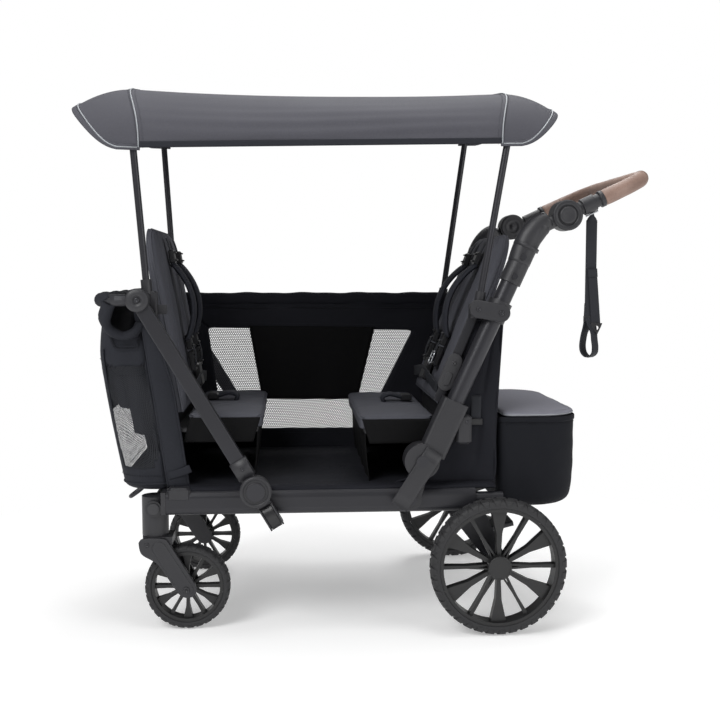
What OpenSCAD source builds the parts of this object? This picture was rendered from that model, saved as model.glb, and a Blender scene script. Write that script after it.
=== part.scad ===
// Stroller wagon with two facing seats, an arched sun canopy and a tilting push handle.
// Millimetres, +Z up. +X points to the push handle, -Y is the side with the open door.
// The origin lies on the floor under the middle of the wagon.

/* [Chassis] */
// Distance from the cabin's side to the middle of a side rail
rail_proud = 18; // [12:0.5:24]
// Width of a side rail
rail_w = 34; // [28:1:36]
// Height of a side rail
rail_h = 53; // [46:1:58]
// Height of the rail's centre line
rail_z = 280; // [275:1:290]
// Front end of the rails
rail_front_x = -412; // [-416:1:-400]
// Rear end of the rails
rail_rear_x = 240; // [225:1:255]
// Rear end of the thin tail tube
tail_x = 300; // [285:1:310]
// Radius of the tail tube
tail_r = 14; // [11:0.5:16]
// Radius of the cross tubes
cross_tube_r = 12; // [9:0.5:14]
// Gap between seated pieces
seat_gap = 0.3; // [0.2:0.05:0.4]
// Radial gap of running shafts
run_gap = 0.06; // [0.03:0.01:0.09]

/* [Rear wheels] */
// Outer radius of a rear tyre
rear_tyre_r = 145; // [138:1:150]
// Width of a rear tyre
rear_tyre_w = 45; // [38:1:46]
// Depth of a rear tyre from its tread to the rim
rear_tyre_depth = 20; // [16:1:24]
// Place of the rear axle along the wagon
rear_wheel_x = 283; // [275:1:290]
// Gap between a side rail and a rear wheel
wheel_clear = 8.5; // [5:0.5:14]
// Radius of the rear axle
rear_axle_r = 8; // [6:0.5:10]
// Radius of the round cap on a rear hub
rear_cap_r = 25; // [20:1:30]

/* [Front casters] */
// Outer radius of a front tyre
front_tyre_r = 91; // [84:1:94]
// Width of a front tyre
front_tyre_w = 40; // [32:1:42]
// Depth of a front tyre from its tread to the rim
front_tyre_depth = 15; // [12:1:19]
// Place of the swivel axis along the wagon
caster_x = -440; // [-446:1:-436]
// Distance of each swivel axis from the middle
caster_half_gauge = 225; // [215:1:232]
// Distance of the wheel axle behind the swivel axis
caster_trail = 67; // [55:1:75]
// Radius of the swivel stem
stem_r = 9; // [7:0.5:11]
// Radius of the caster housing
housing_r = 28; // [24:1:30]
// Width of a fork arm
fork_arm_w = 30; // [24:1:34]
// Thickness of a fork arm
fork_arm_t = 9; // [7:0.5:11]
// Radius of the front wheel's hub
front_cap_r = 17; // [15:1:20]
// Radius of a front wheel axle
front_axle_r = 5; // [4:0.5:7]
// Radius of the swivel lock button
lock_r = 12; // [9:0.5:14]
// Travel of the swivel lock button
lock_travel = 3; // [2:0.5:4]

/* [Front frame] */
// Width of a front strut
strut_w = 31; // [26:1:36]
// Depth of a front strut
strut_d = 20; // [16:1:22]
// Place of the knuckle at the top of a strut
knuckle_x = -460; // [-466:1:-456]
// Height of the knuckle
knuckle_z = 704; // [698:1:712]
// Radius of the knuckle
knuckle_r = 24; // [21:1:27]
// Place of the strut's hub on the rail
strut_hub_x = -224; // [-240:1:-210]
// Height of the strut's hub
strut_hub_z = 309; // [300:1:314]
// Radius of the strut's hub
strut_hub_r = 33; // [28:1:36]
// Length of the strut below its hub
strut_tail = 84; // [60:1:95]
// Radius of the front bar
front_bar_r = 12.5; // [10:0.5:14]
// Place of the front bar's cross run
front_bar_x = -540; // [-550:1:-530]

/* [Push frame] */
// Place of the link's pivot on the rail
link_x = 102; // [90:1:112]
// Width of the link plate
link_w = 40; // [32:1:46]
// Thickness of the link plate
link_t = 10; // [8:0.5:12]
// Place of the fold disc
disc_x = 123; // [118:1:130]
// Height of the fold disc
disc_z = 366; // [362:1:376]
// Radius of the fold disc
disc_r = 37; // [32:1:40]
// Place of the push tube's lower end
tube_foot_x = 183; // [178:1:190]
// Height of the push tube's lower end
tube_foot_z = 463; // [455:1:470]
// Place of the push tube's upper end
tube_head_x = 322; // [315:1:328]
// Height of the push tube's upper end
tube_head_z = 770; // [762:1:778]
// Radius of the push tube
push_tube_r = 19; // [16:0.5:20]
// Gap between the cabin and the clamps of the push frame
push_clear = 9; // [7:0.5:12]
// Width of the clamp at the tube's foot
clamp_w = 56; // [50:1:60]
// Depth of the clamp at the tube's foot
clamp_d = 44; // [42:1:46]

/* [Handle] */
// Place of the handle's hinge
hub_x = 426; // [420:1:432]
// Height of the handle's hinge
hub_z = 879; // [872:1:886]
// Radius of the hinge discs
hub_r = 32; // [29:1:35]
// Radius of the push button in the hinge
hub_button_r = 17.5; // [14:0.5:20]
// Travel of the push button
hub_button_travel = 4; // [3:0.5:5]
// Upward slope of the handle in degrees
handle_slope = 24.5; // [18:0.5:30]
// Distance from the hinge to the middle of the bow
handle_reach = 208.8; // [190:0.2:225]
// Radius of the padded grip
grip_r = 17; // [15:0.5:19]
// Radius of the bare handle arm
arm_r = 14; // [12:0.5:15]
// Corner radius of the bow
bow_corner_r = 105; // [80:1:115]
// Distance from the hinge to the start of the grip
grip_start = 88; // [80:1:95]

/* [Canopy] */
// Overhang of the canopy beyond the cabin's side
canopy_proud = 34; // [30:1:44]
// Rise of the arch at the front rib
front_rise = 127; // [110:1:140]
// Rise of the arch at the rear rib
rear_rise = 112; // [100:1:140]
// Height of the hem at the front rib
front_hem_z = 1046; // [1030:1:1055]
// Height of the hem at the rear rib
rear_hem_z = 1060; // [1030:1:1065]
// Place of the front rib's ends
front_rib_x = -455.5; // [-462:0.5:-450]
// Place of the rear rib's ends
rear_rib_x = 289; // [284:0.5:296]
// Outward lean of each rib at the top
rib_lean = 42; // [25:1:48]
// Reach of the front visor beyond its rib
front_visor_reach = 127; // [110:1:130]
// Reach of the rear visor beyond its rib
rear_visor_reach = 118; // [100:1:130]
// Drop of each visor at its tip
visor_drop = 42; // [25:1:55]
// Sag of the cloth between the ribs
canopy_sag = 11; // [5:1:20]
// Thickness of the canopy cloth
canopy_t = 2.4; // [1.8:0.2:3.2]
// Sideways tilt of the canopy in degrees
canopy_tilt = 7; // [0:0.5:8]
// Radius of the ribs
rib_r = 5; // [4:0.5:6]
// Radius of the canopy poles
pole_r = 7.2; // [6:0.2:8]

/* [Cabin] */
// Thickness of the fabric walls
wall_t = 6; // [4:0.5:7]
// Height of the cabin's rim
rim_z = 703; // [690:1:710]
// Foot of the front wall
front_wall_x = -404; // [-408:1:-400]
// Lean of the front wall at the rim
front_wall_lean = 58; // [50:1:62]
// Foot of the rear wall
rear_wall_x = 291; // [284:1:296]
// Lean of the rear wall at the rim
rear_wall_lean = 33; // [26:1:40]
// Height where the rear wall starts to lean
rear_wall_knee = 440; // [420:1:460]
// Front upper corner of the side window
window_front_high = -361; // [-380:1:-340]
// Front lower corner of the side window
window_front_low = -236; // [-260:1:-210]
// Rear lower corner of the side window
window_rear_low = 25; // [0:1:50]
// Rear upper corner of the side window
window_rear_high = 165; // [140:1:185]
// Lower edge of the side window
window_low_z = 356; // [345:1:370]
// Upper edge of the side window
window_high_z = 612; // [600:1:625]

/* [Seats] */
// Half width of the seats
seat_half_w = 232; // [225:1:236]
// Gap between a seat and the cabin's walls
seat_clear = 6; // [4:0.5:8]
// Depth of the front cushion
front_cushion_depth = 156; // [140:1:165]
// Depth of the rear cushion
rear_cushion_depth = 160; // [145:1:170]
// Rear edge of the front cushion
front_cushion_x = -367; // [-372:1:-362]
// Rear edge of the rear cushion
rear_cushion_x = 157; // [150:1:160]
// Underside of the front cushion
front_cushion_z = 432; // [425:1:436]
// Underside of the rear cushion
rear_cushion_z = 425; // [418:1:430]
// Thickness of a cushion at its crown
cushion_t = 33; // [28:1:38]
// Thickness of a seat board
board_t = 8; // [6:0.5:10]
// Height of a seat back's hinge line above its cushion's underside
back_lift = 48; // [44:1:52]
// Length of the front seat back
front_back_len = 392; // [370:1:400]
// Length of the rear seat back
rear_back_len = 396; // [375:1:404]
// Lean of the front seat back in degrees
front_back_lean = 10.2; // [9:0.2:12]
// Lean of the rear seat back in degrees
rear_back_lean = 22; // [20:0.5:23]
// Thickness of a seat back
back_t = 42; // [34:1:44]
// Gap between a seat back's edge and its seat's edge
back_clear = 8; // [4:0.5:14]
// Radius of a seat back's upper corners
back_corner_r = 90; // [60:1:120]
// Depth of the sewn channels
channel_depth = 4; // [2:0.5:6]

/* [Luggage] */
// Lower edge of the front bag
bag_low_z = 310; // [308:1:330]
// Furthest place of the front bag
bag_front_x = -556; // [-566:1:-550]
// Draw-in of the bag's front at its foot
bag_foot_in = 50; // [30:1:60]
// Gap between the front bag's side and the cabin's side
bag_clear = 4; // [0:0.5:14]
// Thickness of the bag's cloth
bag_t = 4; // [3:0.5:6]
// Rear face of the basket
basket_rear_x = 458; // [440:1:470]
// Lower edge of the basket
basket_low_z = 262; // [255:1:280]
// Upper edge of the basket
basket_top_z = 449; // [440:1:455]
// Half width of the basket
basket_half_w = 235; // [215:1:240]
// Thickness of the basket's walls
basket_t = 4; // [3:0.5:6]
// Thickness of the basket's lid
lid_t = 12; // [9:0.5:15]
// Corner radius of basket and lid
basket_corner_r = 34; // [20:1:45]

/* [Tether] */
// Width of the webbing
tether_w = 24; // [20:1:26]
// Thickness of the webbing
tether_t = 2; // [1.5:0.1:2.5]

/* [Hidden] */
$fn = 64;
left = -1;
right = 1;
sides = [left, right];

frame_colour = [0.24, 0.24, 0.26];
plastic_colour = [0.18, 0.18, 0.19];
tyre_colour = [0.21, 0.21, 0.22];
cloth_colour = [0.09, 0.09, 0.12];
seat_colour = [0.24, 0.25, 0.28];
canopy_colour = [0.35, 0.35, 0.37];
leather_colour = [0.49, 0.38, 0.31];
metal_colour = [0.75, 0.75, 0.77];

// Widths, from the seats outwards
cabin_half_w = seat_half_w + seat_clear + wall_t;
push_half_gauge = cabin_half_w + push_clear + clamp_d / 2;
back_half_w = seat_half_w - back_clear;
bag_half_w = cabin_half_w - bag_clear;
canopy_half_w = cabin_half_w + canopy_proud;
rail_half_gauge = cabin_half_w + rail_proud;

// Rails and what seats on them
rail_in = rail_half_gauge - rail_w / 2;
rail_out = rail_half_gauge + rail_w / 2;
rail_top = rail_z + rail_h / 2;
rail_low = rail_z - rail_h / 2;
rear_half_track = rail_out + wheel_clear + rear_tyre_w / 2;
floor_low = rail_top + seat_gap;
floor_top = floor_low + wall_t;
tail_overlap = 5;
cross_tube_z = rail_z - 15;
front_cross_y = caster_half_gauge - housing_r - seat_gap;
axle_plate_t = 12;
axle_plate_len = 60;
axle_plate_edge = 6;
axle_foot_half_w = 18;
axle_foot_low = 20;
axle_knee_half_w = 25;
axle_knee_high = 10;
rear_axle_y = rear_half_track + rear_tyre_w / 2 - 5;
rear_spacer_y = rear_half_track - rear_tyre_w / 2 - seat_gap;

// Casters: the wheel axle trails behind the swivel axis
front_wheel_x = caster_x + caster_trail;
fork_half_gap = front_tyre_w / 2 + 2;
fork_half_w = fork_half_gap + fork_arm_t;
crown_low = 2 * front_tyre_r + 5;
crown_t = 17;
crown_top = crown_low + crown_t;
housing_low = crown_top + seat_gap;
housing_top = rail_z + 8;
stem_top = housing_top - 14;
lock_z = rail_z - 15;
lock_floor_y = caster_half_gauge + stem_r + 5;
lock_boss_y = caster_half_gauge + housing_r + 6;

// Wheels
rear_rim_r = rear_tyre_r - rear_tyre_depth;
front_rim_r = front_tyre_r - front_tyre_depth;
rim_ring_t = 7;
rim_inset = 4;
spoke_share = 0.45;
spoke_sink = 4;
spoke_root = 0.15;
spoke_waist = 0.05;
spoke_flare = 0.14;
fork_spoke_root = 0.24;
fork_spoke_notch = 0.11;
fork_spoke_waist = 3;
fork_spoke_foot = 4;

// Front frame: washer, strut and cap stack outwards from the rail
washer_t = 6;
cap_t = 8;
strut_in = rail_out + washer_t + 2 * seat_gap;
strut_y = strut_in + strut_d / 2;
strut_out = strut_in + strut_d;
strut_pin_r = 6;
knuckle_p = [knuckle_x, knuckle_z];
strut_hub_p = [strut_hub_x, strut_hub_z];
strut_dir = (strut_hub_p - knuckle_p) / norm(strut_hub_p - knuckle_p);
strut_end_p = strut_hub_p + strut_tail * strut_dir;
knuckle_clear = 6;
knuckle_in = cabin_half_w + knuckle_clear;
front_pole_y = knuckle_in + pole_r + 4.8;
front_bar_corner_r = 50;
front_bar_y = strut_y - 4;

// Push frame
link_in = rail_out + seat_gap;
link_out = link_in + link_t;
link_z = rail_z + 3;
tube_foot_p = [tube_foot_x, tube_foot_z];
tube_head_p = [tube_head_x, tube_head_z];
tube_dir = (tube_head_p - tube_foot_p) / norm(tube_head_p - tube_foot_p);
clamp_below = 92;
clamp_above = 30;
clamp_in = push_half_gauge - clamp_d / 2;
disc_in = min(link_in, clamp_in);
disc_out = max(link_out, push_half_gauge + clamp_d / 2) + 2;
sleeve_r = push_tube_r + 4;
sleeve_below = 34;
elbow_a = tube_head_p + 46 * tube_dir;
elbow_b = [(elbow_a.x + hub_x) / 2 - 12, (elbow_a.y + hub_z) / 2 + 8];
elbow_r = push_tube_r + 1;
elbow_tip_r = 14;

// Handle hinge: a fixed outer disc, then the handle's own inner disc
arm_y = push_half_gauge - 15;
inner_disc_in = arm_y - 10;
inner_disc_out = arm_y + 10;
outer_disc_in = inner_disc_out + seat_gap;
outer_disc_t = 19;
outer_disc_out = outer_disc_in + outer_disc_t;
hub_pin_r = 5;
button_floor = outer_disc_in + 8;
button_in = button_floor + hub_button_travel + 0.5;
button_out = outer_disc_out + 3;
handle_dir = [cos(handle_slope), 0, sin(handle_slope)];
handle_up = [-sin(handle_slope), 0, cos(handle_slope)];
neck_r = 9.5;
arm_start = hub_r + 4;
band_start = arm_start + 6;
band_len = 28;
band_r = arm_r + 3.7;
tether_bar_r = 2;
tether_bar_drop = band_r + seat_gap + tether_bar_r;

// Brackets on the push tubes that hold the rear poles and the link bars
bracket_place = 238;
bracket_p = tube_foot_p + bracket_place * tube_dir;
bracket_arm = 56;
collar_half_h = 22;
bracket_r = push_tube_r + 6;
bracket_half_h = 15;
bracket_in = clamp_in;
bracket_out = push_half_gauge + 8;
link_bar_t = 5;
link_bar_w = 20;
link_bar_y = bracket_in - seat_gap - link_bar_t / 2;
bracket_bolt_back = 43;
link_bar_under = 6;
link_bar_foot = [-22, 24];
link_bar_top = bracket_p - [bracket_bolt_back, link_bar_under];
link_bar_low = tube_foot_p + link_bar_foot;
link_bar_dir = (link_bar_top - link_bar_low) / norm(link_bar_top - link_bar_low);
latch_t = 2.4;
latch_len = 46;
latch_place = 50;
socket_len = 26;
socket_r = pole_r + 4;
socket_sink = 4;
rear_pole_y = bracket_in + socket_r + 1;
rear_pole_foot = [bracket_p.x - bracket_r - socket_r, bracket_p.y + bracket_half_h];
front_pole_foot = [knuckle_x + 15, knuckle_z + knuckle_r - 8];

// Canopy
canopy_tilt_k = tan(canopy_tilt);
rib_inset = canopy_t + 0.8 + rib_r;
pole_half_w = canopy_half_w - canopy_t - 0.8 - pole_r;
pole_splay = pole_r + rib_r + seat_gap;
pole_rise = 2;
arch_power = 0.8;
arch_steps = 24;
visor_root = 0.02;
visor_power = 0.27;
visor_drop_power = 0.5;
lean_power = 2;
visor_steps = 4;
span_steps = 8;

// Cabin walls, given by the outer face of the cloth
rim_h = rim_z - floor_low;
function front_wall(z) = front_wall_x - front_wall_lean * (z - floor_low) / rim_h;
function rear_wall(z) = rear_wall_x + (z < rear_wall_knee ? 0
  : rear_wall_lean * (z - rear_wall_knee) / (rim_z - rear_wall_knee));
panel_in = cabin_half_w - wall_t;
tub_right = panel_in - seat_gap;
tray_front = 30;
tray_rear = 60;
gusset_x = 70;
gusset_w = 95;
gusset_high = 481;
gusset_t = 3;
net_t = 1.5;
flap_t = 3;
flap_over = 8;
flap_clear = 86;
flap_front_high = -252;
flap_front_low = -220;
flap_rear_low = 36;
flap_rear_high = 57;

// Seat backs turn about their lower front edge
front_hinge = [front_cushion_x + 2, front_cushion_z + back_lift - 10];
rear_hinge = [rear_cushion_x + 3, rear_cushion_z + back_lift + 7];

edge_share = 0.45;
stop_t = 4;
stop_back = back_t * (1 - edge_share) + 2 * stop_t;
draw_in = 0.015;
pad_rows = 14;
pad_cols = 30;
harness_y = 75;
harness_w = 46;
harness_t = 8;
harness_low = 0.3;
harness_high = 0.82;
chest_clip_place = 0.48;
chest_clip_h = 26;
lap_buckle_place = 0.14;
lap_buckle_h = 52;
lap_buckle_half_w = 28;
lap_buckle_t = 14;
crotch_half_len = 36;
crotch_half_w = 20;
crotch_t = 6;

// Luggage
bag_top = knuckle_z - front_bar_r - seat_gap;
bag_bulge = 0.74;
basket_x0 = rear_wall(basket_top_z) + seat_gap;
lid_x0 = basket_x0 + lid_t + 3;

// Brake pedal, tow eye and bolts
pedal_half_w = 40;
pedal_len = 92;
pedal_rise = 22;
pedal_t = 12;
tow_r = 18;
tow_bore_r = 9;
tow_t = 8;
tow_reach = 48;
tow_x = caster_x - tow_reach;
tow_z = cross_tube_z + cross_tube_r + seat_gap;
bolt_t = 4;
hub_bolt_r = 19;
link_bolt_r = 11;
disc_bolt_r = 13;
bracket_bolt_r = 7;
sleeve_bolt_r = 6;
sleeve_bolt_low = 20;
sleeve_bolt_high = 24;
tether_neck = 13.4;

// Short webbing end beside the tether, with its three-cornered ring
short_end_z = 650;
short_end_len = 118;
ring_half_w = 12.5;
ring_lap = 4;
ring_drop = 22;
ring_t = 1.6;
ring_bore_r = 4;

// Tether's hand-chosen route, in the plane of the strap's middle
tether_x = 485;
ring_x = tether_x + 12;
tether_y = -arm_y;
tether_route = [
  [tether_x, tether_y, 870], [tether_x, tether_y, 845], [tether_x, tether_y, 815], [tether_x, tether_y, 780],
  [tether_x, tether_y, 745], [tether_x, tether_y, 710], [tether_x, tether_y, 675], [tether_x, tether_y, 645],
  [tether_x, tether_y - 0.8, 620], [tether_x, tether_y - 2, 602], [tether_x, tether_y - 1, 588],
  [tether_x, tether_y + 5, 580], [tether_x, tether_y + 11, 588], [tether_x, tether_y + 13, 602],
  [tether_x, tether_y + 12, 622], [tether_x, tether_y + 9, 648], [tether_x, tether_y + 5, 675],
  [tether_x, tether_y + 3, 695]
];

// Outline of a rectangle with round corners
function rounded_rect(w, h, r, n = 4) = [
  for (q = [0 : 3], k = [0 : n])
    let (a = 90 * q + 90 * k / n, sx = (q == 0 || q == 3) ? 1 : -1, sy = q < 2 ? 1 : -1)
      [sx * (w / 2 - r) + r * cos(a), sy * (h / 2 - r) + r * sin(a)]
];

// Outline of a circle with n corners
function ring(r, n) = [for (k = [0 : n - 1]) [r * cos(360 * k / n), r * sin(360 * k / n)]];

// Straight bar with a round-cornered section between two points [x, z]
module bar_xz(a, b, y, w, d, r) {
  translate([a.x, y, a.y])
    rotate([0, atan2(b.x - a.x, b.y - a.y), 0])
      linear_extrude(norm(b - a))
        polygon(rounded_rect(w, d, r));
}

// Round rod between two points in space
module rod(p, q, r) {
  d = q - p;
  translate(p)
    rotate([0, acos(d.z / norm(d)), atan2(d.y, d.x)])
      cylinder(h = norm(d), r = r);
}

// Disc whose axis runs across the wagon
module disc_y(x, z, y0, y1, r) {
  translate([x, min(y0, y1), z])
    rotate([-90, 0, 0])
      cylinder(h = abs(y1 - y0), r = r);
}

// Plate with an outline in [x, z] between two places across the wagon
module plate_xz(pts, y0, y1) {
  translate([0, max(y0, y1), 0])
    rotate([90, 0, 0])
      linear_extrude(abs(y1 - y0))
        polygon(pts);
}

// Box between two corners
module box(low, high) {
  translate(low)
    cube(high - low);
}

// Triangles of the strips between rings of m points, with both ends closed
function tube_faces(n, m) = concat(
  [for (i = [0 : n - 2], j = [0 : m - 1]) [i * m + j, (i + 1) * m + j, (i + 1) * m + (j + 1) % m]],
  [for (i = [0 : n - 2], j = [0 : m - 1]) [i * m + j, (i + 1) * m + (j + 1) % m, i * m + (j + 1) % m]],
  [for (j = [1 : m - 2]) [0, j, j + 1]],
  [for (j = [1 : m - 2]) [(n - 1) * m, (n - 1) * m + j + 1, (n - 1) * m + j]]
);

// Section swept along a flat curve whose plane has the normal ref
module sweep(path, section, ref) {
  n = len(path);
  points = [
    for (i = [0 : n - 1])
      let (
        d = path[min(i + 1, n - 1)] - path[max(i - 1, 0)],
        t = d / norm(d),
        u = cross(ref, t) / norm(cross(ref, t)),
        v = cross(t, u)
      )
        for (s = section) path[i] + s.x * u + s.y * v
  ];
  polyhedron(points = points, faces = tube_faces(n, len(section)));
}

// Closed solid between an outer and an inner grid of points, listed row by row
module grid_solid(outer, inner, rows, cols) {
  k = rows * cols;
  function at(r, c) = r * cols + c;
  skin = [
    for (r = [0 : rows - 2], c = [0 : cols - 2])
      each [[at(r, c), at(r, c + 1), at(r + 1, c + 1)], [at(r, c), at(r + 1, c + 1), at(r + 1, c)]]
  ];
  lining = [for (f = skin) [k + f[0], k + f[2], k + f[1]]];
  long_edges = [
    for (r = [0 : rows - 2])
      let (a = at(r, 0), b = at(r + 1, 0), e = at(r, cols - 1), g = at(r + 1, cols - 1))
        each [[a, b, k + b], [a, k + b, k + a], [e, k + g, g], [e, k + e, k + g]]
  ];
  short_edges = [
    for (c = [0 : cols - 2])
      let (a = at(0, c), b = at(0, c + 1), e = at(rows - 1, c), g = at(rows - 1, c + 1))
        each [[a, k + a, k + b], [a, k + b, b], [e, k + g, k + e], [e, g, k + g]]
  ];
  polyhedron(points = concat(outer, inner), faces = concat(skin, lining, long_edges, short_edges));
}

// Side rails with their thin tail tubes
module side_rails() {
  color(frame_colour)
    for (s = sides) {
      translate([rail_front_x, s * rail_half_gauge, rail_z])
        rotate([0, 90, 0])
          linear_extrude(rail_rear_x - rail_front_x)
            polygon(rounded_rect(rail_h, rail_w, rail_w / 2 - 1, 6));
      translate([rail_rear_x - tail_overlap, s * rail_half_gauge, rail_z])
        rotate([0, 90, 0])
          cylinder(h = tail_x - rail_rear_x + tail_overlap, r = tail_r);
    }
}

// Tubes that hold the two sides apart
module cross_tubes() {
  color(frame_colour) {
    disc_y(caster_x, cross_tube_z, -front_cross_y, front_cross_y, cross_tube_r);
    for (x = [strut_hub_x, link_x])
      disc_y(x, cross_tube_z, seat_gap - rail_in, rail_in - seat_gap, cross_tube_r);
  }
}

// Rear axle with a spacer beside each wheel
module rear_axle() {
  color(metal_colour) {
    disc_y(rear_wheel_x, rear_tyre_r, -rear_axle_y, rear_axle_y, rear_axle_r);
    for (s = sides)
      disc_y(rear_wheel_x, rear_tyre_r, s * rail_in, s * rear_spacer_y, rear_axle_r + 5);
  }
}

// Plates that carry the rear axle under the rails
module axle_brackets() {
  color(frame_colour)
    for (s = sides)
      difference() {
        plate_xz([
          [rail_rear_x - axle_plate_len, rail_top - axle_plate_edge],
          [rail_rear_x, rail_top - axle_plate_edge],
          [rear_wheel_x + axle_knee_half_w, rear_tyre_r + axle_knee_high],
          [rear_wheel_x + axle_foot_half_w, rear_tyre_r - axle_foot_low],
          [rear_wheel_x - axle_foot_half_w, rear_tyre_r - axle_foot_low],
          [rear_wheel_x - axle_knee_half_w, rear_tyre_r + axle_knee_high],
          [rail_rear_x - axle_plate_len, rail_low]
        ], s * (rail_in - seat_gap), s * (rail_in - seat_gap - axle_plate_t));
        disc_y(rear_wheel_x, rear_tyre_r, s * (rail_in + 1), s * (rail_in - 2 * axle_plate_t),
               rear_axle_r + run_gap);
      }
}

// Upright housing at the front end of a rail
module caster_housing(s) {
  y = s * caster_half_gauge;
  color(plastic_colour)
    difference() {
      union() {
        translate([caster_x, y, housing_low])
          cylinder(h = housing_top - housing_low, r = housing_r);
        box([caster_x + lock_r + 6, min(y, s * rail_out), rail_low + 3],
            [rail_front_x - seat_gap, max(y, s * rail_out), rail_top - 3]);
        disc_y(caster_x, lock_z, y, s * lock_boss_y, lock_r + 5);
      }
      translate([caster_x, y, housing_low - 1])
        cylinder(h = stem_top - housing_low + 2, r = stem_r + run_gap);
      disc_y(caster_x, lock_z, s * lock_floor_y, s * (lock_boss_y + lock_travel), lock_r + run_gap);
    }
}
module left_caster_housing() { caster_housing(left); }
module right_caster_housing() { caster_housing(right); }

// Swivelling fork with its stem and the wheel's axle
module caster_fork(s) {
  y = s * caster_half_gauge;
  color(plastic_colour) {
    box([caster_x - stem_r - 12, y - fork_half_w, crown_low],
        [caster_x + fork_arm_w + 8, y + fork_half_w, crown_top]);
    translate([caster_x, y, crown_low])
      cylinder(h = stem_top - crown_low, r = stem_r);
    disc_y(front_wheel_x, front_tyre_r, y - fork_half_w - 3, y + fork_half_w + 3, front_axle_r);
    for (k = sides) {
      arm_mid = y + k * (fork_half_gap + fork_arm_t / 2);
      bar_xz([caster_x + 4, crown_low + 8], [front_wheel_x, front_tyre_r], arm_mid,
             fork_arm_w, fork_arm_t, 3);
      disc_y(front_wheel_x, front_tyre_r, y + k * fork_half_gap, y + k * fork_half_w, fork_arm_w / 2 + 1);
    }
  }
}
module left_caster_fork() { caster_fork(left); }
module right_caster_fork() { caster_fork(right); }

// Push button that locks the swivel
module caster_lock(s) {
  color(plastic_colour)
    disc_y(caster_x, lock_z, s * (lock_floor_y + lock_travel + 0.5), s * (lock_boss_y + lock_travel), lock_r);
}
module left_caster_lock() { caster_lock(left); }
module right_caster_lock() { caster_lock(right); }

// Spoked rim: wide spokes alternate with spokes that split towards the hub
module rim(x, y, r, rim_r, w, cap_r, axle_r, bore_in, bore_out) {
  spoke_in = cap_r - spoke_sink;
  spoke_out = rim_r - rim_ring_t / 2;
  spoke_mid = (spoke_in + spoke_out) / 2;
  notch_tip = (spoke_in + spoke_mid) / 2;
  color(plastic_colour)
    translate([x, y, r])
      rotate([-90, 0, 0])
        difference() {
          union() {
            difference() {
              cylinder(h = w - 2 * rim_inset, r = rim_r, center = true);
              cylinder(h = w, r = rim_r - rim_ring_t, center = true);
            }
            cylinder(h = w, r = cap_r, center = true);
            for (k = [0 : 5]) {
              rotate([0, 0, 60 * k + 30])
                linear_extrude(w * spoke_share, center = true)
                  polygon([
                    [spoke_in, -spoke_root * cap_r], [spoke_mid, -spoke_waist * rim_r],
                    [spoke_out, -spoke_flare * rim_r], [spoke_out, spoke_flare * rim_r],
                    [spoke_mid, spoke_waist * rim_r], [spoke_in, spoke_root * cap_r]
                  ]);
              rotate([0, 0, 60 * k])
                linear_extrude(w * spoke_share, center = true)
                  polygon([
                    [spoke_in, -fork_spoke_root * cap_r], [spoke_mid, -fork_spoke_waist],
                    [spoke_out, -fork_spoke_foot], [spoke_out, fork_spoke_foot],
                    [spoke_mid, fork_spoke_waist], [spoke_in, fork_spoke_root * cap_r],
                    [spoke_in, fork_spoke_notch * cap_r], [notch_tip, 0],
                    [spoke_in, -fork_spoke_notch * cap_r]
                  ]);
            }
          }
          translate([0, 0, bore_in])
            cylinder(h = bore_out - bore_in, r = axle_r + run_gap);
        }
}

module front_rim(s) {
  rim(front_wheel_x, s * caster_half_gauge, front_tyre_r, front_rim_r, front_tyre_w, front_cap_r,
      front_axle_r, -front_tyre_w, front_tyre_w);
}
module left_front_rim() { front_rim(left); }
module right_front_rim() { front_rim(right); }

// The outer end of the rear hub is closed by its cap
module rear_rim(s) {
  blind = rear_tyre_w / 2 - 4;
  rim(rear_wheel_x, s * rear_half_track, rear_tyre_r, rear_rim_r, rear_tyre_w, rear_cap_r, rear_axle_r,
      s > 0 ? -rear_tyre_w : -blind, s > 0 ? blind : rear_tyre_w);
}
module left_rear_rim() { rear_rim(left); }
module right_rear_rim() { rear_rim(right); }

// Tyre with slanted shoulders
module tyre(x, y, r, rim_r, w) {
  in_r = rim_r + seat_gap;
  color(tyre_colour)
    translate([x, y, r])
      rotate([-90, 0, 0])
        rotate_extrude($fn = 96)
          polygon([
            [in_r, 3 - w / 2], [in_r + 4, -w / 2], [r - 7, -w / 2], [r, 9 - w / 2],
            [r, w / 2 - 9], [r - 7, w / 2], [in_r + 4, w / 2], [in_r, w / 2 - 3]
          ]);
}
module front_tyre(s) { tyre(front_wheel_x, s * caster_half_gauge, front_tyre_r, front_rim_r, front_tyre_w); }
module left_front_tyre() { front_tyre(left); }
module right_front_tyre() { front_tyre(right); }
module rear_tyre(s) { tyre(rear_wheel_x, s * rear_half_track, rear_tyre_r, rear_rim_r, rear_tyre_w); }
module left_rear_tyre() { rear_tyre(left); }
module right_rear_tyre() { rear_tyre(right); }

// Slanted strut from the knuckle down to its hub on the rail
module strut_bar(s, extra) {
  bar_xz(knuckle_p, strut_end_p, s * strut_y, strut_w + 2 * extra, strut_d + 2 * extra, 3);
}
module front_strut(s) {
  color(frame_colour)
    difference() {
      strut_bar(s, 0);
      disc_y(strut_hub_x, strut_hub_z, s * rail_out, s * (strut_out + cap_t), strut_pin_r + run_gap);
    }
}
module left_front_strut() { front_strut(left); }
module right_front_strut() { front_strut(right); }

// Washer, pin and cap of each strut's hub
module strut_hubs() {
  low = rail_out + seat_gap;
  high = strut_out + seat_gap;
  color(plastic_colour)
    for (s = sides) {
      disc_y(strut_hub_x, strut_hub_z, s * low, s * (strut_in - seat_gap), strut_hub_r - 3);
      disc_y(strut_hub_x, strut_hub_z, s * low, s * (high + 1), strut_pin_r);
      disc_y(strut_hub_x, strut_hub_z, s * high, s * (high + cap_t), strut_hub_r);
    }
}

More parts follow.
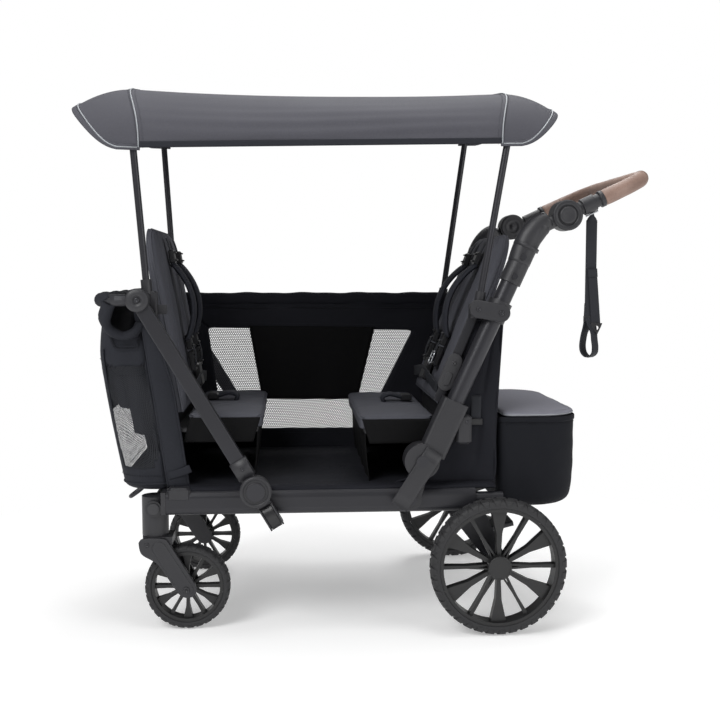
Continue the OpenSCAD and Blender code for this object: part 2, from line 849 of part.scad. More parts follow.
// Place of a pole's top end, beside the end of its rib
function pole_top(x, z, s) = [x, s * pole_half_w, z + pole_rise + s * pole_half_w * canopy_tilt_k];
function front_top(s) = pole_top(front_rib_x - pole_splay, front_hem_z, s);
function rear_top(s) = pole_top(rear_rib_x + pole_splay, rear_hem_z, s);
function front_foot(s) = [front_pole_foot.x, s * front_pole_y, front_pole_foot.y];
function rear_foot(s) = [rear_pole_foot.x, s * rear_pole_y, rear_pole_foot.y];
function unit(v) = v / norm(v);

// Socket body and bore of a canopy pole
module pole_socket(foot, top) {
  rod(foot - socket_sink * unit(top - foot), foot + socket_len * unit(top - foot), socket_r);
}
module pole_bore(foot, top) {
  rod(foot, foot + 2 * socket_len * unit(top - foot), pole_r + seat_gap / 2);
}

// Knuckles that join strut, front bar and front pole
module frame_knuckles() {
  color(plastic_colour)
    for (s = sides)
      difference() {
        union() {
          disc_y(knuckle_x, knuckle_z, s * knuckle_in, s * (strut_out + 3), knuckle_r);
          pole_socket(front_foot(s), front_top(s));
        }
        strut_bar(s, seat_gap / 2);
        pole_bore(front_foot(s), front_top(s));
      }
}

// Bar that runs round the front from knuckle to knuckle
module front_bar() {
  c = front_bar_corner_r;
  x0 = knuckle_x - knuckle_r - seat_gap;
  path = concat(
    [[x0, -front_bar_y, knuckle_z]],
    [for (a = [0 : 15 : 90]) [front_bar_x + c - c * sin(a), -front_bar_y + c - c * cos(a), knuckle_z]],
    [for (a = [90 : -15 : 0]) [front_bar_x + c - c * sin(a), front_bar_y - c + c * cos(a), knuckle_z]],
    [[x0, front_bar_y, knuckle_z]]
  );
  color(frame_colour)
    sweep(path, ring(front_bar_r, 16), [0, 0, 1]);
}

// Push tube's axis point at a distance from its foot
function on_tube(d, s) = [tube_foot_x + d * tube_dir.x, s * push_half_gauge, tube_foot_z + d * tube_dir.y];
function flat_tube(d) = tube_foot_p + d * tube_dir;
tube_len = norm(tube_head_p - tube_foot_p);

// Link plate, fold disc and the clamp that holds the push tube's foot
module hinge_link(s) {
  color(plastic_colour)
    difference() {
      union() {
        bar_xz([link_x, link_z], [disc_x, disc_z], s * (link_in + link_t / 2), link_w, link_t, 3);
        disc_y(link_x, link_z, s * link_in, s * link_out, link_w / 2 + 1);
        disc_y(disc_x, disc_z, s * disc_in, s * disc_out, disc_r);
        bar_xz(flat_tube(-clamp_below), flat_tube(clamp_above), s * push_half_gauge, clamp_w, clamp_d, 8);
      }
      rod(on_tube(-seat_gap, s), on_tube(2 * clamp_above, s), push_tube_r + seat_gap / 2);
    }
}
module left_hinge_link() { hinge_link(left); }
module right_hinge_link() { hinge_link(right); }

module push_tube(s) {
  color(frame_colour)
    rod(on_tube(0, s), on_tube(tube_len, s), push_tube_r);
}
module left_push_tube() { push_tube(left); }
module right_push_tube() { push_tube(right); }

// Elbow from the push tube to the fixed disc of the handle's hinge
module elbow(s) {
  y = s * push_half_gauge;
  a = [elbow_a.x, y, elbow_a.y];
  b = [elbow_b.x, y, elbow_b.y];
  hub = [hub_x, y, hub_z];
  color(plastic_colour)
    difference() {
      union() {
        rod(on_tube(tube_len - sleeve_below, s), a, sleeve_r);
        translate(a)
          sphere(r = sleeve_r + 0.5);
        rod(a, b, elbow_r);
        translate(b)
          sphere(r = elbow_r + 0.5);
        rod(b, hub, elbow_tip_r);
        disc_y(hub_x, hub_z, s * outer_disc_in, s * outer_disc_out, hub_r);
      }
      rod(on_tube(tube_len - 2 * sleeve_below, s), on_tube(tube_len + seat_gap, s),
          push_tube_r + seat_gap / 2);
      disc_y(hub_x, hub_z, s * (inner_disc_in - 10), s * outer_disc_in, hub_r + 2);
      disc_y(hub_x, hub_z, s * button_floor, s * (outer_disc_out + hub_r), hub_button_r + run_gap);
      disc_y(hub_x, hub_z, s * inner_disc_in, s * outer_disc_out, hub_pin_r + run_gap);
    }
}
module left_elbow() { elbow(left); }
module right_elbow() { elbow(right); }

// Collars on the push tubes with an arm for the rear pole and the link bar
module pole_brackets() {
  color(plastic_colour)
    for (s = sides)
      difference() {
        union() {
          rod(on_tube(bracket_place - collar_half_h, s), on_tube(bracket_place + collar_half_h, s),
              bracket_r);
          box([bracket_p.x - bracket_arm, min(s * bracket_in, s * bracket_out), bracket_p.y - bracket_half_h],
              [bracket_p.x, max(s * bracket_in, s * bracket_out), bracket_p.y + bracket_half_h]);
          pole_socket(rear_foot(s), rear_top(s));
        }
        rod(on_tube(bracket_place - bracket_arm, s), on_tube(bracket_place + bracket_arm, s),
            push_tube_r + seat_gap / 2);
        pole_bore(rear_foot(s), rear_top(s));
      }
}

// Flat bars from the pole brackets down to the clamps
module link_bars() {
  color(frame_colour)
    for (s = sides)
      bar_xz(link_bar_low, link_bar_top, s * link_bar_y, link_bar_w, link_bar_t, 2);
}

// Latch that slides on a link bar
module latch(s) {
  low = link_bar_low + latch_place * link_bar_dir;
  high = low + latch_len * link_bar_dir;
  color(plastic_colour)
    difference() {
      bar_xz(low, high, s * link_bar_y, link_bar_w + 8, link_bar_t + 2 * (seat_gap + latch_t), 2.5);
      bar_xz(low - link_bar_dir, high + link_bar_dir, s * link_bar_y, link_bar_w + 2 * seat_gap,
             link_bar_t + 2 * seat_gap, 2);
    }
}
module left_latch() { latch(left); }
module right_latch() { latch(right); }

// Point of the handle at a distance along its slope, above it and across the wagon
function on_handle(d, up, y) = [hub_x, y, hub_z] + d * handle_dir + up * handle_up;

// Inner hinge discs, pins and bare arms, with the tether's band round the left arm
module handle_arms() {
  color(plastic_colour)
    for (s = sides) {
      y = s * arm_y;
      disc_y(hub_x, hub_z, s * inner_disc_in, s * inner_disc_out, hub_r);
      disc_y(hub_x, hub_z, s * inner_disc_in, s * (button_floor - 0.5), hub_pin_r);
      rod(on_handle(hub_r / 2, 0, y), on_handle(arm_start + 8, 0, y), neck_r);
      rod(on_handle(arm_start, 0, y), on_handle(grip_start - seat_gap, 0, y), arm_r);
      if (s == left)
        rod(on_handle(band_start, 0, y), on_handle(band_start + band_len, 0, y), band_r);
    }
}

// Padded grip, one bow from arm to arm
module handle_grip() {
  c = bow_corner_r;
  path = concat(
    [on_handle(grip_start, 0, -arm_y)],
    [for (a = [0 : 11.25 : 90]) on_handle(handle_reach - c + c * sin(a), 0, -arm_y + c - c * cos(a))],
    [for (a = [90 : -11.25 : 0]) on_handle(handle_reach - c + c * sin(a), 0, arm_y - c + c * cos(a))],
    [on_handle(grip_start, 0, arm_y)]
  );
  color(leather_colour)
    sweep(path, ring(grip_r, 16), handle_up);
}

// Button in the middle of a handle hinge
module hub_button(s) {
  color(plastic_colour)
    disc_y(hub_x, hub_z, s * button_in, s * button_out, hub_button_r);
}
module left_hub_button() { hub_button(left); }
module right_hub_button() { hub_button(right); }

// Canopy poles, from their sockets to beside the ends of the ribs
module front_canopy_poles() {
  color(frame_colour)
    for (s = sides) {
      foot = front_foot(s);
      top = front_top(s);
      rod(foot + seat_gap * unit(top - foot), top, pole_r);
    }
}
module rear_canopy_poles() {
  color(frame_colour)
    for (s = sides) {
      foot = rear_foot(s);
      top = rear_top(s);
      rod(foot + seat_gap * unit(top - foot), top, pole_r);
    }
}

// Arch of the canopy at an angle from its crown, drawn in by an inset: [across, height]
function arch(a, rise, inset) = [
  (canopy_half_w - inset) * sign(a) * pow(abs(sin(a)), arch_power),
  (rise - inset) * pow(abs(cos(a)), arch_power)
];
arch_angles = [for (k = [0 : arch_steps]) -90 + 180 * k / arch_steps];

// Point of the cloth: u is 0 at the front rib and 1 at the rear rib, with a visor beyond each
function cloth(u, a, inset) =
  let (
    t = min(max(u, 0), 1),
    c = max(cos(a), 0),
    p = arch(a, (1 - t) * front_rise + t * rear_rise, inset),
    hem = (1 - t) * front_hem_z + t * rear_hem_z + seat_gap,
    lean = rib_lean * pow(c, lean_power),
    out = u < 0 ? -u : max(u - 1, 0),
    reach = u < 0 ? -front_visor_reach : rear_visor_reach,
    k = visor_root + (1 - visor_root) * pow(c, visor_power),
    x = (1 - t) * (front_rib_x - lean) + t * (rear_rib_x + lean) + out * reach * k,
    drop = visor_drop * pow(c, visor_drop_power) * out * out + canopy_sag * 4 * t * (1 - t) * c
  )
    [x, p.x, hem + p.y - drop + p.x * canopy_tilt_k];

cloth_rows = concat(
  [for (k = [visor_steps : -1 : 0]) -k / visor_steps],
  [for (k = [1 : span_steps]) k / span_steps],
  [for (k = [1 : visor_steps]) 1 + k / visor_steps]
);

// Canopy cloth with a visor at each end
module canopy_cover() {
  color(canopy_colour)
    grid_solid(
      [for (u = cloth_rows, a = arch_angles) cloth(u, a, 0)],
      [for (u = cloth_rows, a = arch_angles) cloth(u, a, canopy_t)],
      len(cloth_rows), len(arch_angles)
    );
}

// Arched ribs under the cloth
module canopy_ribs() {
  color(frame_colour)
    for (u = [0, 1]) {
      path = [for (a = arch_angles) cloth(u, a, rib_inset)];
      ends = path[len(path) - 1] - path[0];
      crown = path[arch_steps / 2] - path[0];
      sweep(path, ring(rib_r, 8), unit(cross(ends, crown)));
    }
}

// Cloth floor and end walls, with a tray over the rails and a curved gusset beside the rear seat
module fabric_tub() {
  color(cloth_colour) {
    plate_xz([
      [front_wall(rim_z), rim_z],
      [front_wall(floor_low), floor_low],
      [rear_wall_x, floor_low],
      [rear_wall_x, rear_wall_knee],
      [rear_wall(rim_z), rim_z],
      [rear_wall(rim_z) - wall_t, rim_z],
      [rear_wall_x - wall_t, rear_wall_knee],
      [rear_wall_x - wall_t, floor_top],
      [front_wall(floor_top) + wall_t, floor_top],
      [front_wall(rim_z) + wall_t, rim_z]
    ], -cabin_half_w, tub_right);
    box([front_wall_x + tray_front, -rail_half_gauge, floor_low],
        [rear_wall_x - tray_rear, rail_half_gauge, floor_top]);
    plate_xz(concat(
      [[rear_wall_x - wall_t / 2, floor_top - 1], [rear_wall_x - wall_t / 2, gusset_high]],
      [for (a = [90 : -15 : 0])
        [gusset_x + gusset_w * sin(a), floor_top - 1 + (gusset_high - floor_top + 1) * (1 - cos(a))]]
    ), -cabin_half_w, gusset_t - cabin_half_w);
  }
}

function window(inset) = [
  [window_front_high + 2 * inset, window_high_z - inset], [window_front_low + inset, window_low_z + inset],
  [window_rear_low - inset, window_low_z + inset], [window_rear_high - 2 * inset, window_high_z - inset]
];

// Side wall with a net window and a flap over the window's middle
module right_side_panel() {
  low = floor_top + seat_gap;
  color(cloth_colour) {
    difference() {
      plate_xz([
        [front_wall(rim_z), rim_z], [front_wall(low), low], [rear_wall_x, low],
        [rear_wall_x, rear_wall_knee], [rear_wall(rim_z), rim_z]
      ], panel_in, cabin_half_w);
      plate_xz(window(0), panel_in - 1, cabin_half_w + 1);
    }
    plate_xz(window(seat_gap), panel_in + 2, panel_in + 2 + net_t);
    plate_xz([
      [flap_front_high, window_high_z + flap_over], [flap_front_low, window_low_z + flap_clear],
      [flap_rear_low, window_low_z + flap_clear], [flap_rear_high, window_high_z + flap_over]
    ], panel_in - seat_gap - flap_t, panel_in - seat_gap);
  }
}

// Boards under the cushions, each with a low stop behind the cushion
module seat_boards() {
  front_top = front_cushion_z - seat_gap;
  rear_top = rear_cushion_z - seat_gap;
  color(plastic_colour) {
    box([front_wall(front_top - board_t) + wall_t + seat_gap, -seat_half_w, front_top - board_t],
        [front_cushion_x + front_cushion_depth - 10, seat_half_w, front_top]);
    box([front_hinge.x - stop_back, -back_half_w, front_top - 1],
        [front_hinge.x - stop_back + stop_t, back_half_w,
         front_hinge.y - stop_back * tan(front_back_lean) - seat_gap]);
    box([rear_cushion_x - rear_cushion_depth + 10, -seat_half_w, rear_top - board_t],
        [rear_wall_x - wall_t - seat_gap, seat_half_w, rear_top]);
    box([rear_hinge.x + stop_back - stop_t, -back_half_w, rear_top - 1],
        [rear_hinge.x + stop_back, back_half_w, rear_hinge.y - stop_back * tan(rear_back_lean) - seat_gap]);
  }
}

// Thickness of a pad at a place from -1 to 1 along and across it: a crown with soft edges
function crown(s, q) = edge_share + (1 - edge_share) * pow((1 - pow(abs(s), 6)) * (1 - pow(abs(q), 8)), 0.4);
// Sewn channel that runs along the pad at a third of its width
function channel(q) = max(0, 1 - abs(abs(q) - 1 / 3) * pad_cols / 2);
// Share of the width left where the sides draw in between the corners
function drawn(s) = 1 - draw_in * (1 - s * s);

pad_s = [for (k = [0 : pad_rows]) sin(180 * k / pad_rows - 90)];
pad_q = [for (k = [0 : pad_cols]) -1 + 2 * k / pad_cols];

// Crowned seat cushion that starts at x and lies on z
module cushion(x, depth, z) {
  function place(s, q, h) =
    [x + depth / 2 * (1 + s * drawn(q)), seat_half_w * q * drawn(s), z + h];
  color(seat_colour)
    grid_solid(
      [for (s = pad_s, q = pad_q) place(s, q, cushion_t * crown(s, q) - channel_depth * channel(q))],
      [for (s = pad_s, q = pad_q) place(s, q, 0)],
      pad_rows + 1, pad_cols + 1
    );
}
module front_seat_cushion() { cushion(front_cushion_x, front_cushion_depth, front_cushion_z); }
module rear_seat_cushion() {
  cushion(rear_cushion_x - rear_cushion_depth, rear_cushion_depth, rear_cushion_z);
}

// Upright seat back that faces +X, with its lower front edge on the origin
module back_pad(length) {
  function half_w(p) = p < length - back_corner_r ? back_half_w
    : back_half_w - back_corner_r + sqrt(pow(back_corner_r, 2) - pow(p - length + back_corner_r, 2));
  function place(s, q, x) = let (p = length / 2 * (1 + s)) [x, -half_w(p) * q * drawn(s), p];
  color(seat_colour)
    grid_solid(
      [for (s = pad_s, q = pad_q) place(s, q, back_t * (crown(s, q) - 1) - channel_depth * channel(q))],
      [for (s = pad_s, q = pad_q) place(s, q, -back_t)],
      pad_rows + 1, pad_cols + 1
    );
}

// Shoulder pads with a chest clip and the lap buckle, lying on an upright seat back
module back_harness(length) {
  color(cloth_colour) {
    for (s = sides)
      box([seat_gap, s * harness_y - harness_w / 2, length * harness_low],
          [harness_t, s * harness_y + harness_w / 2, length * harness_high]);
    box([seat_gap, -harness_y, length * chest_clip_place],
        [harness_t - 1, harness_y, length * chest_clip_place + chest_clip_h]);
    box([seat_gap, -lap_buckle_half_w, length * lap_buckle_place],
        [lap_buckle_t, lap_buckle_half_w, length * lap_buckle_place + lap_buckle_h]);
  }
}

// Stand a seat back or its harness on the front or the rear seat
module on_front_seat() {
  translate([front_hinge.x, 0, front_hinge.y])
    rotate([0, -front_back_lean, 0])
      children();
}
module on_rear_seat() {
  translate([rear_hinge.x, 0, rear_hinge.y])
    rotate([0, rear_back_lean, 0])
      mirror([1, 0, 0])
        children();
}
module front_seat_back() { on_front_seat() back_pad(front_back_len); }
module rear_seat_back() { on_rear_seat() back_pad(rear_back_len); }
module front_harness() { on_front_seat() back_harness(front_back_len); }
module rear_harness() { on_rear_seat() back_harness(rear_back_len); }

// Crotch straps that lie over the middle of the cushions
module crotch_straps() {
  color(cloth_colour)
    for (c = [[front_cushion_x + front_cushion_depth / 2, front_cushion_z],
              [rear_cushion_x - rear_cushion_depth / 2, rear_cushion_z]])
      box([c.x - crotch_half_len, -crotch_half_w, c.y + cushion_t + seat_gap],
          [c.x + crotch_half_len, crotch_half_w, c.y + cushion_t + seat_gap + crotch_t]);
}

// Front of the bag at a height share k: upright above its bulge, drawn in below
function bag_front(k) = bag_front_x + bag_foot_in * pow(max(1 - k / bag_bulge, 0), 1.2);
function bag_outline(t, top) = concat(
  [for (k = [0 : 1 / 12 : 1.001]) [bag_front(k) + t, bag_low_z + t + k * (top - bag_low_z - t)]],
  [[front_wall(top) - seat_gap - t, top], [front_wall(bag_low_z) - seat_gap - t, bag_low_z + t]]
);

// Bag below the front bar, open at the top
module front_bag() {
  color(cloth_colour)
    difference() {
      plate_xz(bag_outline(0, bag_top), -bag_half_w, bag_half_w);
      plate_xz(bag_outline(bag_t, bag_top + 1), bag_t - bag_half_w, bag_half_w - bag_t);
    }
}

// Plan of the basket, drawn in by an inset
module basket_plan(x0, x1, inset) {
  translate([(x0 + x1) / 2, 0])
    polygon(rounded_rect(x1 - x0 - 2 * inset, 2 * (basket_half_w - inset), basket_corner_r - inset, 6));
}

// Basket behind the rear wall, open at the top
module rear_basket() {
  color(cloth_colour)
    difference() {
      translate([0, 0, basket_low_z])
        linear_extrude(basket_top_z - basket_low_z)
          basket_plan(basket_x0, basket_rear_x, 0);
      translate([0, 0, basket_low_z + basket_t])
        linear_extrude(basket_top_z - basket_low_z)
          basket_plan(basket_x0, basket_rear_x, basket_t);
    }
}
module basket_lid() {
  color(cloth_colour)
    translate([0, 0, basket_top_z + seat_gap])
      linear_extrude(lid_t)
        basket_plan(lid_x0, basket_rear_x + 2, 0);
}

// Foot pedal of the parking brake, turning on the rear axle
module brake_pedal() {
  color(plastic_colour)
    difference() {
      union() {
        disc_y(rear_wheel_x, rear_tyre_r, -pedal_half_w, pedal_half_w, rear_axle_r + 7);
        bar_xz([rear_wheel_x, rear_tyre_r], [rear_wheel_x + pedal_len, rear_tyre_r + pedal_rise], 0,
               pedal_t, 2 * pedal_half_w - 12, 4);
      }
      disc_y(rear_wheel_x, rear_tyre_r, -2 * pedal_half_w, 2 * pedal_half_w, rear_axle_r + run_gap);
    }
}

// Flat eye for a tow strap on the front cross tube
module tow_eye() {
  color(frame_colour)
    translate([0, 0, tow_z])
      difference() {
        union() {
          translate([tow_x, -tow_r, 0])
            cube([caster_x + cross_tube_r - tow_x, 2 * tow_r, tow_t]);
          translate([tow_x, 0, 0])
            cylinder(h = tow_t, r = tow_r - 0.5);
        }
        translate([tow_x, 0, -1])
          cylinder(h = tow_t + 2, r = tow_bore_r);
      }
}

// Wire bar below the band, for the tether's loop
module tether_bar() {
  color(metal_colour)
    rod(on_handle(band_start, -tether_bar_drop, -arm_y),
        on_handle(band_start + band_len, -tether_bar_drop, -arm_y), tether_bar_r);
}

// Webbing with a hand loop at its end
module tether_strap() {
  color(cloth_colour)
    sweep(tether_route, rounded_rect(tether_t, tether_w, tether_t / 2 - 0.2, 1), [1, 0, 0]);
}

// Pointed end that hangs on the wire bar, and a short webbing end with a three-cornered ring
module tether_clip() {
  y = tether_y - tether_t - 2 * seat_gap;
  bar = on_handle(band_start + band_len / 2, -tether_bar_drop, -arm_y);
  color(cloth_colour) {
    plate_xz([
      [bar.x - 0.4, bar.z - tether_bar_r - 1],
      [bar.x - tether_w / 2, bar.z - tether_neck],
      [bar.x + tether_w / 2, bar.z - tether_neck],
      [bar.x + 0.4, bar.z - tether_bar_r - 1]
    ], tether_y - tether_t / 2, tether_y + tether_t / 2);
    bar_xz([tether_x + 2, short_end_z + short_end_len], [ring_x, short_end_z], y, tether_w - 4, tether_t, 0.8);
    difference() {
      plate_xz([
        [ring_x - ring_half_w, short_end_z + ring_lap],
        [ring_x + ring_half_w, short_end_z + ring_lap],
        [ring_x, short_end_z - ring_drop]
      ], y - ring_t, y + seat_gap);
      disc_y(ring_x, short_end_z - ring_drop / 2 + ring_bore_r / 2, y - 2 * ring_t, y + 2 * ring_t, ring_bore_r);
    }
  }
}

// Heads of the frame's bolts
module bolt(p, face, r) {
  disc_y(p.x, p.y, face, face + sign(face) * bolt_t, r);
}
module frame_bolts() {
  color(metal_colour)
    for (s = sides) {
      bolt(strut_hub_p, s * (strut_out + cap_t + 2 * seat_gap), hub_bolt_r);
      bolt([link_x, link_z], s * (link_out + seat_gap), link_bolt_r);
      bolt([disc_x, disc_z], s * (disc_out + seat_gap), disc_bolt_r);
      bolt(bracket_p - [bracket_bolt_back, 0], s * (bracket_out + seat_gap), bracket_bolt_r);
      bolt(flat_tube(tube_len - sleeve_bolt_low), s * (push_half_gauge + sleeve_r + seat_gap), sleeve_bolt_r);
      bolt(flat_tube(tube_len + sleeve_bolt_high), s * (push_half_gauge + sleeve_r + seat_gap), sleeve_bolt_r);
    }
}

side_rails();
cross_tubes();
rear_axle();
axle_brackets();
left_caster_housing();
right_caster_housing();
left_caster_fork();
right_caster_fork();
left_caster_lock();
right_caster_lock();
left_front_rim();
right_front_rim();
left_front_tyre();
right_front_tyre();
left_rear_rim();
right_rear_rim();
left_rear_tyre();
right_rear_tyre();
left_front_strut();
right_front_strut();
strut_hubs();
frame_knuckles();
front_bar();
left_hinge_link();
right_hinge_link();
left_push_tube();
right_push_tube();
left_elbow();
right_elbow();
pole_brackets();
link_bars();
left_latch();
right_latch();
handle_arms();
handle_grip();
left_hub_button();
right_hub_button();
front_canopy_poles();
rear_canopy_poles();
canopy_ribs();
canopy_cover();
fabric_tub();
right_side_panel();
seat_boards();
front_seat_cushion();
rear_seat_cushion();
front_seat_back();
rear_seat_back();
front_harness();
rear_harness();
crotch_straps();
front_bag();
rear_basket();
basket_lid();
brake_pedal();
tow_eye();
tether_bar();
tether_strap();
tether_clip();
frame_bolts();
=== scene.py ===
# %% [markdown]
# # A stroller wagon, dressed step by step
# The wagon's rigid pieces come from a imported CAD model, which stays where it is. This lesson gives every
# surface its finish and makes the soft pieces: canopy, bags, seats, straps and the leather grip.

# %% Load the wagon's frame
import math

import bmesh
import bpy
import numpy as np
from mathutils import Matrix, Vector


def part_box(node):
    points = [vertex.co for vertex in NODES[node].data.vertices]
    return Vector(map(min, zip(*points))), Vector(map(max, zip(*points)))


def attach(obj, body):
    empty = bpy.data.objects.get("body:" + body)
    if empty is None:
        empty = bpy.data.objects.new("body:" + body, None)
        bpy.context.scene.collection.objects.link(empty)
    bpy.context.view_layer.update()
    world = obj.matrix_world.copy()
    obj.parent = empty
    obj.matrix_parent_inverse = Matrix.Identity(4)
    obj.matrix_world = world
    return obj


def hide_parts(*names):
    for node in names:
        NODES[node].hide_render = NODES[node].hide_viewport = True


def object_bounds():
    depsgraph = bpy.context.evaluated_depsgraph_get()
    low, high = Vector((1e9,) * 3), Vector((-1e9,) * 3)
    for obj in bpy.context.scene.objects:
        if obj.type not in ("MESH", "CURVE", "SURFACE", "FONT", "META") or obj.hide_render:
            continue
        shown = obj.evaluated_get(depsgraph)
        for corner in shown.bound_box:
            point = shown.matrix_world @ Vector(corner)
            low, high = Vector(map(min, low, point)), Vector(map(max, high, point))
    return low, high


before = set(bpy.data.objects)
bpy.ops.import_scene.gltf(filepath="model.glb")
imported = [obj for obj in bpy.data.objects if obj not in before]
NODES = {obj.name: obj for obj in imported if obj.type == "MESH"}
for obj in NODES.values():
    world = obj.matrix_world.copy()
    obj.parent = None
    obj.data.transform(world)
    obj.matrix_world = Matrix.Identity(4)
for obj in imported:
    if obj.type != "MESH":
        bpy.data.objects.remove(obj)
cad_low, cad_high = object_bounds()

SIDES = (-1, 1)
SIDE_NAMES = ("left", "right")
AHEAD, ACROSS, UPWARDS = (1, 0, 0), (0, 1, 0), (0, 0, 1)
print("CAD box", [round(b - a, 4) for a, b in zip(cad_low, cad_high)])

# %% [markdown]
# ## The camera
# The photograph was taken from a little above the cabin's rim, from the side with the open door. A camera is
# set by its place, its turn and its lens. The wagon sits near the frame's middle, so no shift is needed.

# %% Camera
camera_lens = bpy.data.cameras.new("photo_camera")
camera_lens.sensor_width = 36.0
camera_lens.lens = 52.15
camera = bpy.data.objects.new("photo_camera", camera_lens)
camera.location = (-0.1515, -2.440, 0.755)
camera.rotation_euler = (math.radians(85.34), 0.0, math.radians(-3.84))
bpy.context.scene.collection.objects.link(camera)
bpy.context.scene.camera = camera
print("camera at", tuple(round(c, 3) for c in camera.location))

# %% [markdown]
# ## Mesh helpers
# Most soft pieces are one curved sheet, so one helper turns a grid of points into faces with a UV map in
# metres, which lets a weave follow the cloth. A second helper sweeps a section along a path, which makes
# piping, webbing and the grip. Every piece keeps its place in its vertices.

# %% Pieces from points and faces
def new_piece(name, points, faces, smooth=True):
    """A mesh object at the origin, made from points in metres."""
    mesh = bpy.data.meshes.new(name)
    mesh.from_pydata([tuple(p) for p in points], [], faces)
    mesh.update()
    if smooth:
        mesh.shade_smooth()
    made = bpy.data.objects.new(name, mesh)
    bpy.context.scene.collection.objects.link(made)
    return made


def set_uv(made, uv_of_vertex):
    """Writes a UV map from one pair of metres per vertex."""
    layer = made.data.uv_layers.new(name="cloth_uv")
    corners = np.empty(len(made.data.loops), np.int32)
    made.data.loops.foreach_get("vertex_index", corners)
    layer.data.foreach_set("uv", np.asarray(uv_of_vertex, np.float32)[corners].ravel())


def grid_faces(rows, cols, wrap=False):
    """Quads of a grid that is listed row by row, closed across its columns if asked."""
    last = cols if wrap else cols - 1
    return [(r * cols + c, r * cols + (c + 1) % cols, (r + 1) * cols + (c + 1) % cols, (r + 1) * cols + c)
            for r in range(rows - 1) for c in range(last)]


def lengths_along(grid, axis):
    """Distance in metres run along one direction of a grid of points."""
    steps = np.linalg.norm(np.diff(grid, axis=axis), axis=2)
    start = np.zeros_like(np.take(grid[..., 0], [0], axis=axis))
    return np.concatenate([start, np.cumsum(steps, axis=axis)], axis=axis)


def run_along(line):
    """Distance in metres from the first point of a line to each of its points."""
    return np.concatenate([[0], np.cumsum(np.linalg.norm(np.diff(line, axis=0), axis=1))])


def resample(line, want):
    """Points at given distances along a line."""
    run = run_along(line)
    return np.stack([np.interp(want, run, line[:, k]) for k in range(line.shape[1])], axis=1)


def smooth_step(value):
    """Eases from 0 to 1."""
    value = np.clip(value, 0, 1)
    return value * value * (3 - 2 * value)


def sheet_piece(name, grid):
    """An open sheet from a grid of points, rows by columns, with its UV map in metres."""
    grid = np.asarray(grid, float)
    rows, cols = grid.shape[:2]
    made = new_piece(name, grid.reshape(-1, 3), grid_faces(rows, cols))
    set_uv(made, np.stack([lengths_along(grid, 1), lengths_along(grid, 0)], axis=2).reshape(-1, 2))
    return made


def thicken(made, thickness, offset=-1.0):
    """Gives a sheet its thickness, inwards from its faces unless told otherwise."""
    modifier = made.modifiers.new("cloth_thickness", "SOLIDIFY")
    modifier.thickness = thickness
    modifier.offset = offset
    return apply_modifiers(made)


def apply_modifiers(made):
    """Turns the modifiers' result into the piece's own mesh."""
    bpy.context.view_layer.update()
    graph = bpy.context.evaluated_depsgraph_get()
    mesh = bpy.data.meshes.new_from_object(made.evaluated_get(graph), depsgraph=graph)
    made.modifiers.clear()
    made.data = mesh
    return made


def smooth_levels(made, levels):
    """One subdivision surface, applied, with the same level in view and render."""
    modifier = made.modifiers.new("soft_surface", "SUBSURF")
    modifier.levels = levels
    modifier.render_levels = levels
    return apply_modifiers(made)


# %% Sweeps, joins and smoothed paths
def smooth_path(points, step):
    """Catmull-Rom curve through points, resampled at a steady step."""
    p = np.asarray(points, float)
    p = np.vstack([2 * p[0] - p[1], p, 2 * p[-1] - p[-2]])
    t = np.linspace(0, 1, 24, endpoint=False)[:, None]
    spans = [0.5 * (2 * b + (c - a) * t + (2 * a - 5 * b + 4 * c - d) * t ** 2
                    + (3 * b - a - 3 * c + d) * t ** 3)
             for a, b, c, d in zip(p[:-3], p[1:-2], p[2:-1], p[3:])]
    fine = np.vstack(spans + [p[-2:-1]])
    length = run_along(fine)[-1]
    return resample(fine, np.linspace(0, length, max(2, int(round(length / step)) + 1)))


def circle(radius, sides):
    """Section of a round cord or tube."""
    turn = 2 * np.pi * np.arange(sides) / sides
    return np.stack([radius * np.cos(turn), radius * np.sin(turn)], axis=1)


def flat_section(width, thickness, steps=6):
    """Section of webbing: flat faces with rounded edges, first along the width."""
    half = width / 2 - thickness / 2
    across = np.linspace(-half, half, steps)
    top = np.stack([across, np.full(steps, thickness / 2)], axis=1)
    edge = np.array([[half + thickness * 0.35, thickness * 0.35], [half + thickness / 2, 0.0],
                     [half + thickness * 0.35, -thickness * 0.35]])
    return np.vstack([top, edge, -top, -edge])


def frames_along(path, across):
    """Two unit vectors square to a path at each point, the first near the given direction."""
    tangent = np.gradient(path, axis=0)
    tangent /= np.linalg.norm(tangent, axis=1)[:, None]
    across = np.broadcast_to(np.asarray(across, float), path.shape)
    first = across - (across * tangent).sum(1)[:, None] * tangent
    first /= np.linalg.norm(first, axis=1)[:, None]
    return first, np.cross(tangent, first)


def sweep_piece(name, path, section, across, closed=False):
    """A section swept along a path, with closed ends, and its UV map in metres."""
    path = np.asarray(path, float)
    first, second = frames_along(path, across)
    points = path[:, None] + section[None, :, :1] * first[:, None] + section[None, :, 1:] * second[:, None]
    rows, cols = points.shape[:2]
    faces = grid_faces(rows, cols, wrap=True)
    if closed:
        faces += [((rows - 1) * cols + c, (rows - 1) * cols + (c + 1) % cols, (c + 1) % cols, c)
                  for c in range(cols)]
    else:
        faces += [tuple(range(cols))[::-1], tuple((rows - 1) * cols + c for c in range(cols))]
    made = new_piece(name, points.reshape(-1, 3), faces)
    face_outwards(made)
    set_uv(made, np.stack([np.tile(section[:, 0], rows), np.repeat(run_along(path), cols)], axis=1))
    return made


def face_outwards(made):
    """Merges doubles and turns all faces outwards."""
    shell = bmesh.new()
    shell.from_mesh(made.data)
    bmesh.ops.remove_doubles(shell, verts=shell.verts, dist=1e-6)
    bmesh.ops.recalc_face_normals(shell, faces=shell.faces)
    shell.to_mesh(made.data)
    shell.free()
    return made


